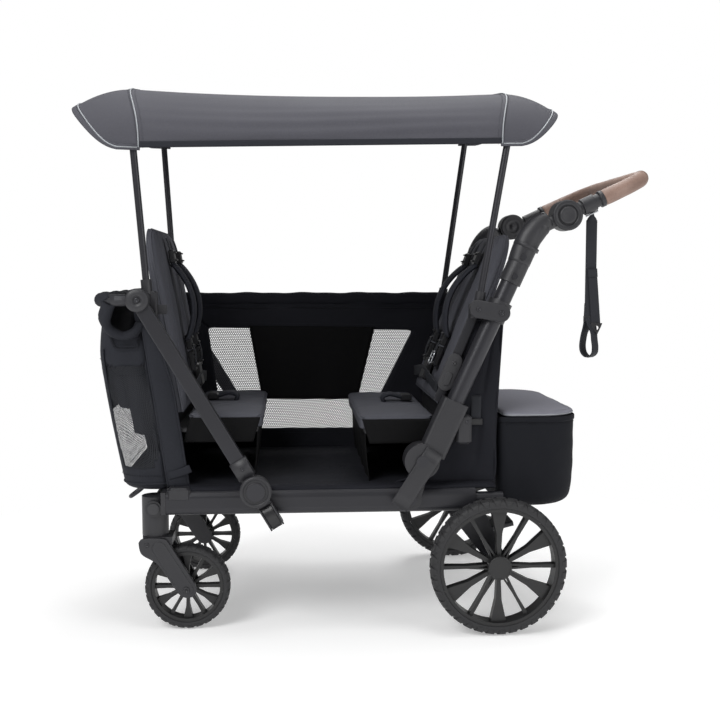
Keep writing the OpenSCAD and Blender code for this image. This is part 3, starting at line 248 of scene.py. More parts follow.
def join(name, made):
    """Several pieces of one body become one piece."""
    keep = made[0]
    with bpy.context.temp_override(active_object=keep, selected_editable_objects=made):
        bpy.ops.object.join()
    keep.name = name
    keep.data.name = name
    return keep


def finish_piece(made, body, material, replaces=()):
    """Gives a piece its body, material and slot, and hides the CAD nodes that it stands for."""
    made.data.materials.clear()
    made.data.materials.append(material)
    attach(made, body)
    # The frame has materials of some of these names, so Blender adds a number to them.
    if replaces:
        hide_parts(*replaces)
    print(f"{made.name}: {len(made.data.polygons)} faces on {body}")
    return made


# %% [markdown]
# ## Writing finishes as sums
# A finish is a small graph of nodes. Placing nodes by hand is slow to read, so one class wraps an output
# socket and lets Python's operators add Math nodes, and one method adds any other node from its type, its
# settings and what its sockets get. Colours are mixed with Mix nodes, because a Math node would grey them.
# Geometry Nodes are written in the same way further down.

# %% Sockets with operators
class Wire:
    """An output socket that takes part in Python sums."""

    def __init__(self, graph, socket):
        self.graph = graph
        self.socket = socket

    def math(self, operation, other=None, reflected=False):
        """Adds a Math node for one or two values."""
        values = [self] if other is None else [self, other]
        if reflected:
            values.reverse()
        return self.graph.node("ShaderNodeMath", {"operation": operation}, dict(enumerate(values)))

    def __add__(self, other):
        return self.math("ADD", other)

    def __sub__(self, other):
        return self.math("SUBTRACT", other)

    def __rsub__(self, other):
        return self.math("SUBTRACT", other, reflected=True)

    def __mul__(self, other):
        return self.math("MULTIPLY", other)

    def __truediv__(self, other):
        return self.math("DIVIDE", other)

    def __rtruediv__(self, other):
        return self.math("DIVIDE", other, reflected=True)

    def __gt__(self, other):
        return self.math("GREATER_THAN", other)

    def __mod__(self, other):
        return self.math("FLOORED_MODULO", other)

    __radd__ = __add__
    __rmul__ = __mul__


# %% One finish and its nodes
def srgb(red, green, blue):
    """A colour as it is seen on screen, from 0 to 255, as linear light."""
    shares = [c / 255 for c in (red, green, blue)]
    return tuple(c / 12.92 if c <= 0.04045 else ((c + 0.055) / 1.055) ** 2.4 for c in shares) + (1.0,)


class Graph:
    """A tree of nodes, of a material, of the sky or of geometry."""

    def __init__(self, tree):
        self.tree = tree

    def node(self, kind, settings=(), sockets=(), output=0):
        """Adds a node, sets it up, feeds its sockets and gives one of its outputs."""
        made = self.tree.nodes.new(kind)
        for name, value in dict(settings).items():
            setattr(made, name, value)
        for name, value in dict(sockets).items():
            self.feed(made.inputs[name], value)
        return Wire(self, made.outputs[output])

    def feed(self, socket, value):
        """Links a wire to a socket, or sets the socket's own value."""
        if isinstance(value, Wire):
            self.tree.links.new(value.socket, socket)
        else:
            socket.default_value = value


class Finish(Graph):
    """A material built on one Principled shader."""

    def __init__(self, name, **constants):
        self.material = bpy.data.materials.new(name)
        self.material.use_nodes = True
        super().__init__(self.material.node_tree)
        self.shader = self.tree.nodes["Principled BSDF"]
        for socket, value in constants.items():
            self.shader.inputs[self.label(socket)].default_value = value

    @staticmethod
    def label(name):
        """Name of a shader's socket, such as Base Color from base_color."""
        return name.replace("_", " ").title().replace("Ior", "IOR")

    def coords(self, kind="Object"):
        """Texture coordinates of a kind."""
        return self.node("ShaderNodeTexCoord", output=kind)

    def axes(self, vector):
        """The three parts of a vector."""
        split = self.node("ShaderNodeSeparateXYZ", {}, {0: vector}).socket.node
        return [Wire(self, socket) for socket in split.outputs]

    def noise(self, vector, scale, detail=2.0):
        """Cloudy noise; a larger scale is finer."""
        return self.node("ShaderNodeTexNoise", {"noise_dimensions": "3D"},
                         {"Vector": vector, "Scale": scale, "Detail": detail}, "Fac")

    def cells(self, vector, scale):
        """Distance to the nearest cell's point, smoothed."""
        return self.node("ShaderNodeTexVoronoi", {"feature": "SMOOTH_F1"}, {"Vector": vector, "Scale": scale},
                         "Distance")

    def waves(self, along, pitch):
        """Ridges from 0 to 1 at a pitch in metres."""
        return (along * (2 * math.pi / pitch)).math("SINE") * 0.5 + 0.5

    def colour(self, factor, low, high):
        """Mixes two screen colours."""
        sockets = {0: factor, 6: srgb(*low), 7: srgb(*high)}
        return self.node("ShaderNodeMix", {"data_type": "RGBA"}, sockets, 2)

    def bump(self, height, strength, distance):
        """Normals from a height, whose full distance is in metres."""
        return self.node("ShaderNodeBump", {}, {"Height": height, "Strength": strength, "Distance": distance},
                         "Normal")

    def use(self, **sockets):
        """Feeds the shader's own sockets and hands over the material."""
        for name, value in sockets.items():
            self.feed(self.shader.inputs[self.label(name)], value)
        print("finish", self.material.name, len(self.tree.nodes), "nodes")
        return self.material


# %% [markdown]
# ## Hard finishes
# The tubes are powder coated: charcoal, satin, with a faint orange peel. Plastic housings have a moulded
# grain. Tyres are matt and a little dusty. Noise on Object coordinates gives each of them a slow change of
# shade and a fine bump, at sizes that the real finishes have.

# %% Paint, plastic, rubber and steel
def grained(name, low, high, rough, grain, grain_depth, **constants):
    """A hard finish with slow changes of shade and a fine grain of a given size in metres."""
    made = Finish(name, **constants)
    place = made.coords()
    shade = made.noise(place, 9.0, 3.0)
    fine = made.noise(place, 1 / grain, 2.0)
    return made.use(base_color=made.colour(shade, low, high), normal=made.bump(fine, 0.35, grain_depth),
                    roughness=rough[0] + (rough[1] - rough[0]) * shade)


frame_paint = grained("frame_paint", (34, 34, 38), (44, 44, 49), (0.34, 0.44), 0.0016, 0.00006, metallic=0.25)
tube_paint = grained("tube_paint", (38, 38, 42), (49, 49, 54), (0.32, 0.40), 0.0014, 0.00005, metallic=0.3)
moulded_plastic = grained("moulded_plastic", (34, 34, 37), (44, 44, 48), (0.40, 0.52), 0.0009, 0.00010)
button_plastic = grained("button_plastic", (44, 44, 47), (54, 54, 57), (0.34, 0.44), 0.0012, 0.00004)
rim_plastic = grained("rim_plastic", (25, 25, 26), (33, 33, 34), (0.38, 0.48), 0.0012, 0.00006)
tyre_rubber = grained("tyre_rubber", (32, 32, 34), (43, 43, 45), (0.58, 0.74), 0.0018, 0.00018)
buckle_plastic = grained("buckle_plastic", (26, 26, 28), (34, 34, 36), (0.30, 0.40), 0.0012, 0.00004)
bare_steel = grained("bare_steel", (176, 178, 182), (200, 202, 205), (0.24, 0.34), 0.0008, 0.00002,
                     metallic=1.0)
bolt_steel = grained("bolt_steel", (50, 50, 53), (64, 64, 68), (0.30, 0.42), 0.0008, 0.00004, metallic=0.6)


# %% [markdown]
# ## Cloth, webbing and leather
# The cabin and bags are navy-black nylon, the seats are a slate melange, the canopy is a denser grey. A plain
# weave is two crossed rows of ridges, read from the UV map where a piece has one, so that the threads follow
# the cloth. Stuffed seats have no UV map and read Object coordinates instead.

# %% Woven cloth
def woven(name, low, high, shine=0.3, pitch=0.0011, depth=0.00025, mottle=0.004, coords="UV"):
    """Plain weave with a melange of two shades; pitch, depth and mottle are in metres."""
    made = Finish(name, specular_ior_level=shine)
    place = made.coords(coords)
    x, y, z = made.axes(place)
    threads = made.waves(x, pitch) * made.waves(y, pitch)
    if coords == "Object":
        threads = (threads + made.waves(y, pitch) * made.waves(z, pitch)) * 0.5
    space = made.coords("Object")
    melange = made.noise(space, 1 / mottle, 4.0)
    broad = made.noise(space, 6.0, 2.0)
    shade = melange * 0.6 + broad * 0.25 + threads * 0.15
    return made.use(base_color=made.colour(shade, low, high), roughness=0.74 + 0.16 * melange,
                    normal=made.bump(threads * 0.7 + melange * 0.3, 0.45, depth))


cabin_cloth = woven("cabin_cloth", (14, 15, 20), (29, 30, 38), 0.25)
bag_cloth = woven("bag_cloth", (23, 24, 30), (44, 46, 53))
basket_cloth = woven("basket_cloth", (10, 11, 16), (22, 24, 31), 0.25)
seat_cloth = woven("seat_cloth", (58, 59, 65), (94, 95, 103), 0.3, 0.0013, 0.00030, 0.0022, "Object")
# Near-black cloth for the seat skirts and the window's flap: its dark is painted shade, darker than the
# cabin's cloth.
lining_cloth = woven("lining_cloth", (2, 2, 3), (8, 8, 10), 0.2, depth=0.00020)
strap_cloth = woven("strap_cloth", (28, 29, 35), (50, 52, 60), mottle=0.003)
canopy_cloth = woven("canopy_cloth", (62, 62, 68), (86, 86, 93), 0.3, 0.0010, 0.00020, 0.003)
# Pale grey lid cloth: partly its own colour, partly painted light from above on the lid's top, so it is set
# much lighter than the canopy.
lid_cloth = woven("lid_cloth", (110, 110, 118), (139, 139, 149), 0.3, 0.0012, 0.00022, 0.003)


# %% Webbing, silver piping and leather
def ribbed_webbing(name, low, high):
    """Flat webbing: fine ribs both ways and a little wear."""
    made = Finish(name, specular_ior_level=0.3)
    across, along, _ = made.axes(made.coords("UV"))
    ribs = made.waves(along, 0.0024) * 0.6 + made.waves(across, 0.0018) * 0.4
    wear = made.noise(made.coords("Object"), 160.0, 3.0)
    return made.use(base_color=made.colour(ribs * 0.5 + wear * 0.5, low, high), roughness=0.6 + 0.2 * wear,
                    normal=made.bump(ribs, 0.5, 0.0003))


webbing = ribbed_webbing("webbing", (22, 23, 27), (44, 46, 52))


def silver_piping():
    """Reflective tape over a cord: pale, with a twill of fine slanted lines."""
    made = Finish("silver_piping", metallic=0.15)
    across, along, _ = made.axes(made.coords("UV"))
    twill = made.waves(across + along, 0.0016)
    dust = made.noise(made.coords(), 90.0, 2.0)
    return made.use(base_color=made.colour(twill * 0.3 + dust * 0.7, (132, 135, 140), (166, 170, 174)),
                    roughness=0.42 + 0.16 * dust, normal=made.bump(twill, 0.25, 0.00015))


def grip_leather():
    """Brown leather: pebbled grain, lighter on the pebbles, with slow changes of shade."""
    made = Finish("grip_leather", coat_roughness=0.45)
    place = made.coords()
    pebbles = made.cells(place, 520.0)
    broad = made.noise(place, 26.0, 4.0)
    creases = made.noise(place, 210.0, 3.0)
    shade = broad * 0.7 + (1 - pebbles) * 0.3
    return made.use(base_color=made.colour(shade, (108, 85, 75), (158, 131, 118)),
                    roughness=0.46 + 0.16 * creases, coat_weight=0.12 * broad,
                    normal=made.bump(pebbles * 0.7 + creases * 0.3, 0.4, 0.0003))


silver = silver_piping()
leather = grip_leather()


# %% [markdown]
# ## Net
# The window and the bag's pocket are warp-knitted net: rows of round holes, each row half a step on from the
# last. Thousands of holes would be far too many faces, so the holes are in the material's Alpha, worked out
# from the distance to the nearest hole's middle.

# %% Net with round holes
def knitted_net(name, low, high, pitch, hole):
    """Thread colour, with holes of a given share of the pitch cut by Alpha."""
    made = Finish(name, roughness=0.8)
    across, along, _ = made.axes(made.coords("UV"))
    row = along / (pitch * 0.866)
    odd = (row.math("FLOOR") % 2.0) * 0.5
    dx = (across / pitch + odd) % 1.0 - 0.5
    dy = (row % 1.0 - 0.5) * 0.866
    distance = (dx * dx + dy * dy).math("SQRT")
    thread = distance > hole / 2
    shade = made.noise(made.coords(), 300.0, 2.0)
    return made.use(base_color=made.colour(shade, low, high), alpha=thread)


window_net = knitted_net("window_net", (70, 70, 75), (96, 96, 101), 0.0050, 0.66)
pocket_net = knitted_net("pocket_net", (34, 35, 39), (52, 54, 60), 0.0040, 0.76)

# %% [markdown]
# ## The tether
# A hand strap of flat webbing hangs from a wire bar under the left arm of the handle, so it stays upright
# when the handle tilts. It is a free cord of a known length, so it comes before the other pieces. Its route
# is the one that the CAD solid follows, and its lower end turns back on itself into a hand loop.

# %% Tether webbing
tether_width = 0.024
tether_thickness = 0.002
tether_x, tether_y = 0.485, -0.260
loop_y = -0.2545
tether_route = [(tether_y, z) for z in (0.870, 0.845, 0.815, 0.780, 0.745, 0.710, 0.675, 0.645)]
tether_route += [(-0.2608, 0.620), (-0.262, 0.602), (-0.261, 0.588), (-0.255, 0.580), (-0.249, 0.588),
                 (-0.247, 0.602), (-0.248, 0.622), (-0.251, 0.648), (-0.255, 0.675), (-0.257, 0.695)]


def open_loop(points):
    """Widens the hand loop and turns it about the strap's upright line, so that it stands half open."""
    x, y, z = np.asarray(points, float).T
    share = smooth_step((0.672 - z) / 0.045)
    turn = math.radians(45) * share
    dx, dy = x - tether_x, (y - loop_y) * (1 + share)
    return np.stack([tether_x + dx * np.cos(turn) - dy * np.sin(turn),
                     loop_y + (dx * np.sin(turn) + dy * np.cos(turn)), z], axis=1)


straight_path = smooth_path([(tether_x, y, z) for y, z in tether_route], 0.004)
tether = sweep_piece("tether_webbing", straight_path, flat_section(tether_width, tether_thickness), AHEAD)
for vertex in tether.data.vertices:
    vertex.co = open_loop([vertex.co])[0]
tether_path = open_loop(straight_path)
finish_piece(tether, "tether", webbing, ["tether_strap"])

# %% [markdown]
# The strap's top end is gathered to a point round the wire bar, a short second strap carries a
# three-cornered ring, and a slider holds the loop. They ride with the tether.

# %% Tether's top, short strap, ring and slider
bar_low, bar_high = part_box("tether_bar")
bar_middle = (bar_low + bar_high) / 2


def ring_plate(name, outline, hole, hole_radius, thickness, y):
    """A flat plate in the XZ plane with one round hole, bridged by a fan of quads."""
    count = 36
    outline = np.asarray(outline, float)
    edges = np.vstack([outline, outline[:1]])
    outer = resample(edges, np.linspace(0, run_along(edges)[-1], count, endpoint=False))
    start = math.atan2(outer[0, 1] - hole[1], outer[0, 0] - hole[0])
    turn = np.sign(np.cross(edges[1] - edges[0], edges[2] - edges[1]))
    angles = start + turn * 2 * np.pi * np.arange(count) / count
    inner = np.asarray(hole) + hole_radius * np.stack([np.cos(angles), np.sin(angles)], axis=1)
    points = [(x, y + side * thickness / 2, z) for side in SIDES for ring in (outer, inner) for x, z in ring]
    faces = []
    for k in range(count):
        n = (k + 1) % count
        faces += [(k, n, count + n, count + k), (2 * count + k, 3 * count + k, 3 * count + n, 2 * count + n)]
        faces += [(k, 2 * count + k, 2 * count + n, n), (count + k, count + n, 3 * count + n, 3 * count + k)]
    return face_outwards(new_piece(name, points, faces, smooth=False))


def tether_top():
    """Gathered webbing from the wire bar down to the strap's full width."""
    widths = [0.010, 0.008, 0.010, 0.018, tether_width]
    heights = [0.006, 0.0, -0.005, -0.010, -0.018]
    rows = [[(bar_middle.x + w * share, tether_y + 0.0012 * side, bar_middle.z + h)
             for side, share in ((-1, -0.5), (-1, 0.0), (-1, 0.5), (1, 0.5), (1, 0.0), (1, -0.5))]
            for w, h in zip(widths, heights)]
    points = [p for row in rows for p in row]
    faces = grid_faces(len(rows), 6, wrap=True) + [tuple(range(6)), tuple(range(24, 30))]
    made = face_outwards(new_piece("tether_top", points, faces))
    set_uv(made, [(v.co.x - bar_middle.x, v.co.z) for v in made.data.vertices])
    return made


short_strap_path = smooth_path([(0.487, -0.2624, 0.768), (0.4915, -0.2628, 0.715), (0.497, -0.2624, 0.650)],
                               0.006)
short_strap = sweep_piece("short_strap", short_strap_path, flat_section(0.020, tether_thickness), AHEAD)
sewn_end = sweep_piece("sewn_end", short_strap_path[:4] + (0, -0.0015, 0),
                       flat_section(0.021, tether_thickness), AHEAD)
tether_straps = join("tether_straps", [tether_top(), short_strap, sewn_end])
finish_piece(tether_straps, "tether", webbing, ["tether_clip"])
ring_plates = join("tether_ring", [
    ring_plate("ring", [(0.4850, 0.655), (0.5105, 0.653), (0.5075, 0.645), (0.4995, 0.628), (0.4880, 0.645)],
               (0.4985, 0.643), 0.0045, 0.0030, -0.2630),
    ring_plate("slider", [(0.4715, 0.668), (0.4985, 0.668), (0.4985, 0.655), (0.4715, 0.655)],
               (0.485, 0.6615), 0.0035, 0.0052, -0.2590),
])
finish_piece(ring_plates, "tether", buckle_plastic)

# %% [markdown]
# ## Rows of stitches
# Sewn edges carry rows of small stitches. Modelling each by hand would take hours, so a Geometry Nodes tree
# walks along a curve, puts one thin bead at every step and turns it along the seam. Its step, length and
# thickness are named inputs, and the finished row becomes a plain mesh.

# %% Stitch tree
class Rule(Graph):
    """A Geometry Nodes tree with named inputs, which ends in a mesh with a finish."""

    def __init__(self, name, **kinds):
        super().__init__(bpy.data.node_groups.new(name, "GeometryNodeTree"))
        add_socket = self.tree.interface.new_socket
        for label, kind in kinds.items():
            add_socket(label, in_out="INPUT", socket_type="NodeSocket" + kind)
        add_socket("Geometry", in_out="OUTPUT", socket_type="NodeSocketGeometry")
        given = self.tree.nodes.new("NodeGroupInput").outputs
        self.given = [Wire(self, given[label]) for label in kinds]

    def end(self, geometry, finish):
        """Makes the dressed geometry the tree's result."""
        dressed = self.node("GeometryNodeSetMaterial", {}, {"Geometry": geometry, "Material": finish})
        self.feed(self.tree.nodes.new("NodeGroupOutput").inputs["Geometry"], dressed)
        return self.tree


def stitch_tree():
    """Beads along a curve, one at every step."""
    rule = Rule("stitch_row", Geometry="Geometry", Step="Float", Length="Float", Thickness="Float",
                Finish="Material")
    curve, step, length, thickness, finish = rule.given
    points = rule.node("GeometryNodeCurveToPoints", {"mode": "LENGTH"}, {"Curve": curve, "Length": step},
                       "Points")
    tangent = Wire(rule, points.socket.node.outputs["Tangent"])
    turn = rule.node("FunctionNodeAlignRotationToVector", {"axis": "X"}, {"Vector": tangent})
    size = rule.node("ShaderNodeCombineXYZ", {}, {"X": length, "Y": thickness, "Z": thickness})
    bead = rule.node("GeometryNodeMeshUVSphere", {}, {"Segments": 6, "Rings": 4, "Radius": 0.5}, "Mesh")
    rows = rule.node("GeometryNodeInstanceOnPoints", {},
                     {"Points": points, "Instance": bead, "Rotation": turn, "Scale": size})
    return rule.end(rule.node("GeometryNodeRealizeInstances", {}, {"Geometry": rows}), finish)


# %% Run a tree and keep its mesh
def input_id(tree, name):
    """Identifier of a tree's named input."""
    return next(item.identifier for item in tree.interface.items_tree
                if item.item_type == "SOCKET" and item.in_out == "INPUT" and item.name == name)


def run_tree(carrier, tree, **inputs):
    """The tree's result on a carrier object, as a plain mesh object at the origin."""
    modifier = carrier.modifiers.new("made_by_rule", "NODES")
    modifier.node_group = tree
    for name, value in inputs.items():
        modifier[input_id(tree, name)] = value
    graph = bpy.context.evaluated_depsgraph_get()
    mesh = bpy.data.meshes.new_from_object(carrier.evaluated_get(graph), depsgraph=graph)
    name = carrier.name
    bpy.data.objects.remove(carrier)
    made = bpy.data.objects.new(name, mesh)
    mesh.name = name
    bpy.context.scene.collection.objects.link(made)
    return made


def curve_carrier(name, paths):
    """One curve object with a straight-sided spline along each path."""
    curve = bpy.data.curves.new(name, "CURVE")
    curve.dimensions = "3D"
    for path in paths:
        spline = curve.splines.new("POLY")
        spline.points.add(len(path) - 1)
        spline.points.foreach_set("co", np.c_[np.asarray(path), np.ones(len(path))].ravel())
    made = bpy.data.objects.new(name, curve)
    bpy.context.scene.collection.objects.link(made)
    return made


stitch_rule = stitch_tree()


def stitches(name, paths, body, finish, step=0.006, length=0.0042, thickness=0.0010):
    """Stitch rows along paths, as one piece on one body."""
    made = run_tree(curve_carrier(name, paths), stitch_rule, Step=step, Length=length, Thickness=thickness,
                    Finish=finish)
    return finish_piece(made, body, finish)


# %% [markdown]
# ## The canopy
# The sun canopy is one sheet, stretched over two arched ribs and cut on into a visor at each end. Flat panels
# would show their edges, so the whole sheet comes from one rule: an arch across the wagon, a sag between the
# ribs, and a visor that grows from nothing at the hem to its full reach at the crown.

# %% The canopy's rule
canopy_half_width = 0.278
canopy_rises = (0.127, 0.112)
canopy_hems = (1.0463, 1.0603)
canopy_ribs_x = (-0.4555, 0.289)
visor_reaches = (0.127, 0.118)
rib_lean = 0.042
visor_drop = 0.042
canopy_sag = 0.011
canopy_tilt = math.tan(math.radians(7.0))
arch_power = 0.8


def canopy_point(u, angle, lift=0.0):
    """Point of the canopy: u is 0 at the front rib, 1 at the rear rib, and angle is 0 at the crown."""
    u, angle = np.broadcast_arrays(np.asarray(u, float), np.asarray(angle, float))
    cosine = np.clip(np.cos(angle), 0, None)
    span = np.clip(u, 0, 1)
    out = np.clip(-u, 0, None) + np.clip(u - 1, 0, None)
    y = (canopy_half_width + lift) * np.sign(angle) * np.abs(np.sin(angle)) ** arch_power
    rise = (1 - span) * canopy_rises[0] + span * canopy_rises[1] + lift
    hem = (1 - span) * canopy_hems[0] + span * canopy_hems[1]
    lean = rib_lean * cosine ** 2
    visor = 0.02 + 0.98 * cosine ** 0.27
    reach = np.where(u < 0, -visor_reaches[0], visor_reaches[1])
    x = (1 - span) * (canopy_ribs_x[0] - lean) + span * (canopy_ribs_x[1] + lean) + out * reach * visor
    drop = visor_drop * cosine ** 0.5 * out ** 2 + canopy_sag * 4 * span * (1 - span) * cosine
    return np.stack([x, y, hem + rise * cosine ** arch_power - drop + y * canopy_tilt], axis=-1)


def grid_normals(grid):
    """Unit normals of a grid of points, by its two directions."""
    normal = np.cross(np.gradient(grid, axis=1), np.gradient(grid, axis=0))
    return normal / np.maximum(np.linalg.norm(normal, axis=2), 1e-9)[..., None]


def grid_area(grid):
    """Area of a grid of quads, in square metres."""
    a, b, c, d = grid[:-1, :-1], grid[:-1, 1:], grid[1:, 1:], grid[1:, :-1]
    return float(0.5 * np.linalg.norm(np.cross(c - a, d - b), axis=2).sum())


# %% The canopy's sheet
rows_u = np.concatenate([np.linspace(-1, 0, 13), np.linspace(0, 1, 57)[1:], np.linspace(1, 2, 13)[1:]])
arch_angles = np.radians(np.linspace(90, -90, 81))
canopy_grid = canopy_point(rows_u[:, None], arch_angles[None, :])
inside_span = np.clip(4 * rows_u * (1 - rows_u), 0, 1)[:, None] ** 0.5
near_hem = np.abs(np.sin(arch_angles))[None, :] ** 6
creases = np.sin(arch_angles * 31 + np.sin(rows_u * 5)[:, None] * 1.6) * near_hem
long_waves = np.sin(arch_angles * 9 + rows_u[:, None] * 2.4) * np.sin(rows_u * 7.0)[:, None]
ripple = inside_span * (0.0016 * creases + 0.0012 * long_waves)
canopy_grid = canopy_grid + grid_normals(canopy_grid) * ripple[..., None]
canopy = thicken(sheet_piece("canopy_sheet", canopy_grid), 0.0022)
finish_piece(canopy, "chassis", canopy_cloth, ["canopy_cover"])

# %% [markdown]
# A bias binding closes the hem, and silver piping runs over each rib and along each visor, a finger's width
# from its edge, where the photograph shows it catching the light.

# %% Canopy binding, piping and stitches
fine_angles = np.radians(np.linspace(-90, 90, 121))


def canopy_line(u, lift):
    """A line over the canopy from hem to hem."""
    return canopy_point(np.full_like(fine_angles, u), fine_angles, lift)


def edge_band(name, edge, inner, width, thickness):
    """A folded band of binding over an edge, given the edge and a line further in."""
    inwards = inner - edge
    inwards /= np.linalg.norm(inwards, axis=1)[:, None]
    return sweep_piece(name, edge + inwards * width * 0.45, flat_section(width, thickness), inwards)


visor_bands = [edge_band("visor_band", canopy_line(u, 0.0), canopy_line(u + inner, 0.0), 0.012, 0.0042)
               for u, inner in ((-1.0, 0.1), (2.0, -0.1))]
hem_u = np.linspace(-0.02, 1.02, 90)
hem_bands = []
for side in SIDES:
    edge = canopy_point(hem_u, np.full_like(hem_u, side * math.pi / 2))
    inner = canopy_point(hem_u, np.full_like(hem_u, side * math.pi / 2 * 0.97))
    hem_bands.append(edge_band("hem_band", edge, inner, 0.013, 0.0046))
visor_binding = finish_piece(join("visor_binding", visor_bands), "chassis", canopy_cloth)
# The hem's binding takes the darker bag cloth, as painted shade along the canopy's lower edge.
hem_binding = finish_piece(join("hem_binding", hem_bands), "chassis", bag_cloth)
piping_lines = [canopy_line(u, 0.0016) for u in (-0.90, 0.0, 1.0, 1.90)]
canopy_piping = join("canopy_piping", [sweep_piece("piping", line, circle(0.0015, 8), UPWARDS)
                                       for line in piping_lines])
finish_piece(canopy_piping, "chassis", silver)
seam_lines = [canopy_line(u, 0.0010) for u in (-0.04, 0.012, 0.988, 1.04)]
canopy_stitches = stitches("canopy_stitches", seam_lines, "chassis", canopy_cloth, thickness=0.0011)
round(grid_area(canopy_grid), 3)

# %% [markdown]
# ## Tyres with lugs
# Each tyre is a smooth ring with a crown of trapezoid lugs on both shoulders, the two rows half a step
# apart. One pair of lugs is modelled round the wheel's axle, and a Geometry Nodes tree turns copies of it
# round the wheel, with the count and the wheel's middle as named inputs.

# %% Copies round an axle
def ring_tree():
    """Copies of a mesh, turned about its Y axis and moved to a middle."""
    rule = Rule("copies_round_axle", Geometry="Geometry", Count="Int", Middle="Vector", Finish="Material")
    mesh, count, middle, finish = rule.given
    points = rule.node("GeometryNodePoints", {}, {"Count": count})
    turn = rule.node("GeometryNodeInputIndex") * (2 * math.pi / count)
    angles = rule.node("ShaderNodeCombineXYZ", {}, {"Y": turn})
    rotation = rule.node("FunctionNodeEulerToRotation", {}, {"Euler": angles})
    copies = rule.node("GeometryNodeInstanceOnPoints", {},
                       {"Points": points, "Instance": mesh, "Rotation": rotation})
    real = rule.node("GeometryNodeRealizeInstances", {}, {"Geometry": copies})
    moved = rule.node("GeometryNodeTransform", {}, {"Geometry": real, "Translation": middle})
    return rule.end(moved, finish)


ring_rule = ring_tree()


# %% One pair of lugs and one tyre
tyre_steps = 144
full_tyre_radius = 0.145


def round_axle(radius, angle, y):
    """Point round an axle that runs across the wagon."""
    return (radius * math.sin(angle), y, radius * math.cos(angle))


def lug_pair(name, radius, half_width, pitch):
    """Two lugs, one on each shoulder, from the sidewall up to the tread."""
    size = radius / full_tyre_radius
    drops = [0.0135, 0.0080, 0.0030, 0.0008, 0.0]
    sides = [1.0, 1.0, 0.84, 0.55, 0.16]
    widths = [0.17, 0.24, 0.31, 0.37, 0.37]
    sunk = [(0.0135, 0.90), (0.0100, 0.88), (0.0062, 0.70), (0.0044, 0.46), (0.0040, 0.12)]
    points = []
    faces = []
    for side in SIDES:
        shift = pitch / 4 * side
        first = len(points)
        for drop, y, width, (low, low_y) in zip(drops, sides, widths, sunk):
            wide = width * pitch
            top = radius - drop * size
            base = radius - low * size
            points += [round_axle(base, shift - wide * 1.12, side * low_y * half_width),
                       round_axle(top, shift - wide, side * y * half_width),
                       round_axle(top, shift + wide, side * y * half_width),
                       round_axle(base, shift + wide * 1.12, side * low_y * half_width)]
        faces += [tuple(first + k for k in face) for face in grid_faces(5, 4, wrap=True)]
        faces += [tuple(first + k for k in range(4)), tuple(first + 16 + k for k in range(4))]
    made = face_outwards(new_piece(name, points, faces, smooth=False))
    bevel = made.modifiers.new("worn_edges", "BEVEL")
    bevel.width = 0.0006
    bevel.segments = 1
    return apply_modifiers(made)


def tyre_ring(name, middle, radius, rim_radius, half_width):
    """The smooth body of a tyre, turned about its axle."""
    size = radius / full_tyre_radius
    profile = [(rim_radius + 0.0003, 0.86), (rim_radius + 0.0014, 0.95), (rim_radius + 0.0040, 0.985)]
    profile += [(radius - drop * size, y) for drop, y in
                ((0.0125, 0.965), (0.0085, 0.90), (0.0052, 0.76), (0.0032, 0.52), (0.0024, 0.22))]
    profile += [(r, -y) for r, y in reversed(profile)]
    turns = np.linspace(0, 2 * math.pi, tyre_steps, endpoint=False)
    points = [np.add(middle, round_axle(r, turn, y * half_width)) for turn in turns for r, y in profile]
    cols = len(profile)
    faces = [tuple(a + (r + da) % tyre_steps * cols
                   for a, da in ((c, 0), ((c + 1) % cols, 0), ((c + 1) % cols, 1), (c, 1)))
             for r in range(tyre_steps) for c in range(cols)]
    return face_outwards(new_piece(name, points, faces))


# %% Four tyres
for place, lugs in (("front", 28), ("rear", 36)):
    for side_name in SIDE_NAMES:
        node_name = f"{side_name}_{place}_tyre"
        low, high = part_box(node_name)
        rim_low, rim_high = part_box(f"{side_name}_{place}_rim")
        middle = (low + high) / 2
        radius = (high.z - low.z) / 2
        half_width = (high.y - low.y) / 2
        body = tyre_ring("tyre_ring", middle, radius, (rim_high.z - rim_low.z) / 2, half_width)
        pair = lug_pair("tyre_lugs", radius, half_width, 2 * math.pi / lugs)
        rows = run_tree(pair, ring_rule, Count=lugs, Middle=middle, Finish=tyre_rubber)
        tyre = join(f"{side_name}_{place}_tyre_rubber", [body, rows])
        finish_piece(tyre, f"{side_name}_{place}_wheel", tyre_rubber, [node_name])

# %% [markdown]
# ## The cabin
# The cabin is a cloth trough: front wall, floor and rear wall in one length, open to the door's side. Cloth
# that is only held at its edges never lies flat, so slow waves of a few millimetres move it along its
# normals. The rims are padded rolls.

# %% The trough
wall_thickness = 0.006
floor_low = 0.3068
rim_height = 0.703
cabin_half_width = 0.244
trough_far_side = 0.2377


def front_wall(z):
    """Outer face of the front wall at a height."""
    return -0.404 - 0.058 * (z - floor_low) / (rim_height - floor_low)


def rear_wall(z):
    """Outer face of the rear wall at a height."""
    return 0.291 + 0.015 * max(z - 0.440, 0.0) / (rim_height - 0.440)


def slow_waves(a, b, seed):
    """Uneven waves from -1 to 1 over two lengths in metres."""
    return (np.sin(a * 31 + seed) * np.sin(b * 23 + 2 * seed) + 0.6 * np.sin(a * 57 + b * 19 + 3 * seed)
            + 0.4 * np.sin(b * 71 - a * 13 + seed)) / 2


def wavy_sheet(name, grid, depth, seed, thickness):
    """A sheet with slow waves along its normals that fade at its borders, and a thickness."""
    grid = np.asarray(grid, float)
    along, across = lengths_along(grid, 0), lengths_along(grid, 1)
    border = np.minimum(np.minimum(along, along[-1:] - along), np.minimum(across, across[:, -1:] - across))
    fade = np.clip(border / 0.05, 0, 1)
    grid = grid + grid_normals(grid) * (depth * fade * slow_waves(along, across, seed))[..., None]
    return thicken(sheet_piece(name, grid), thickness, 0.0), grid_area(grid)


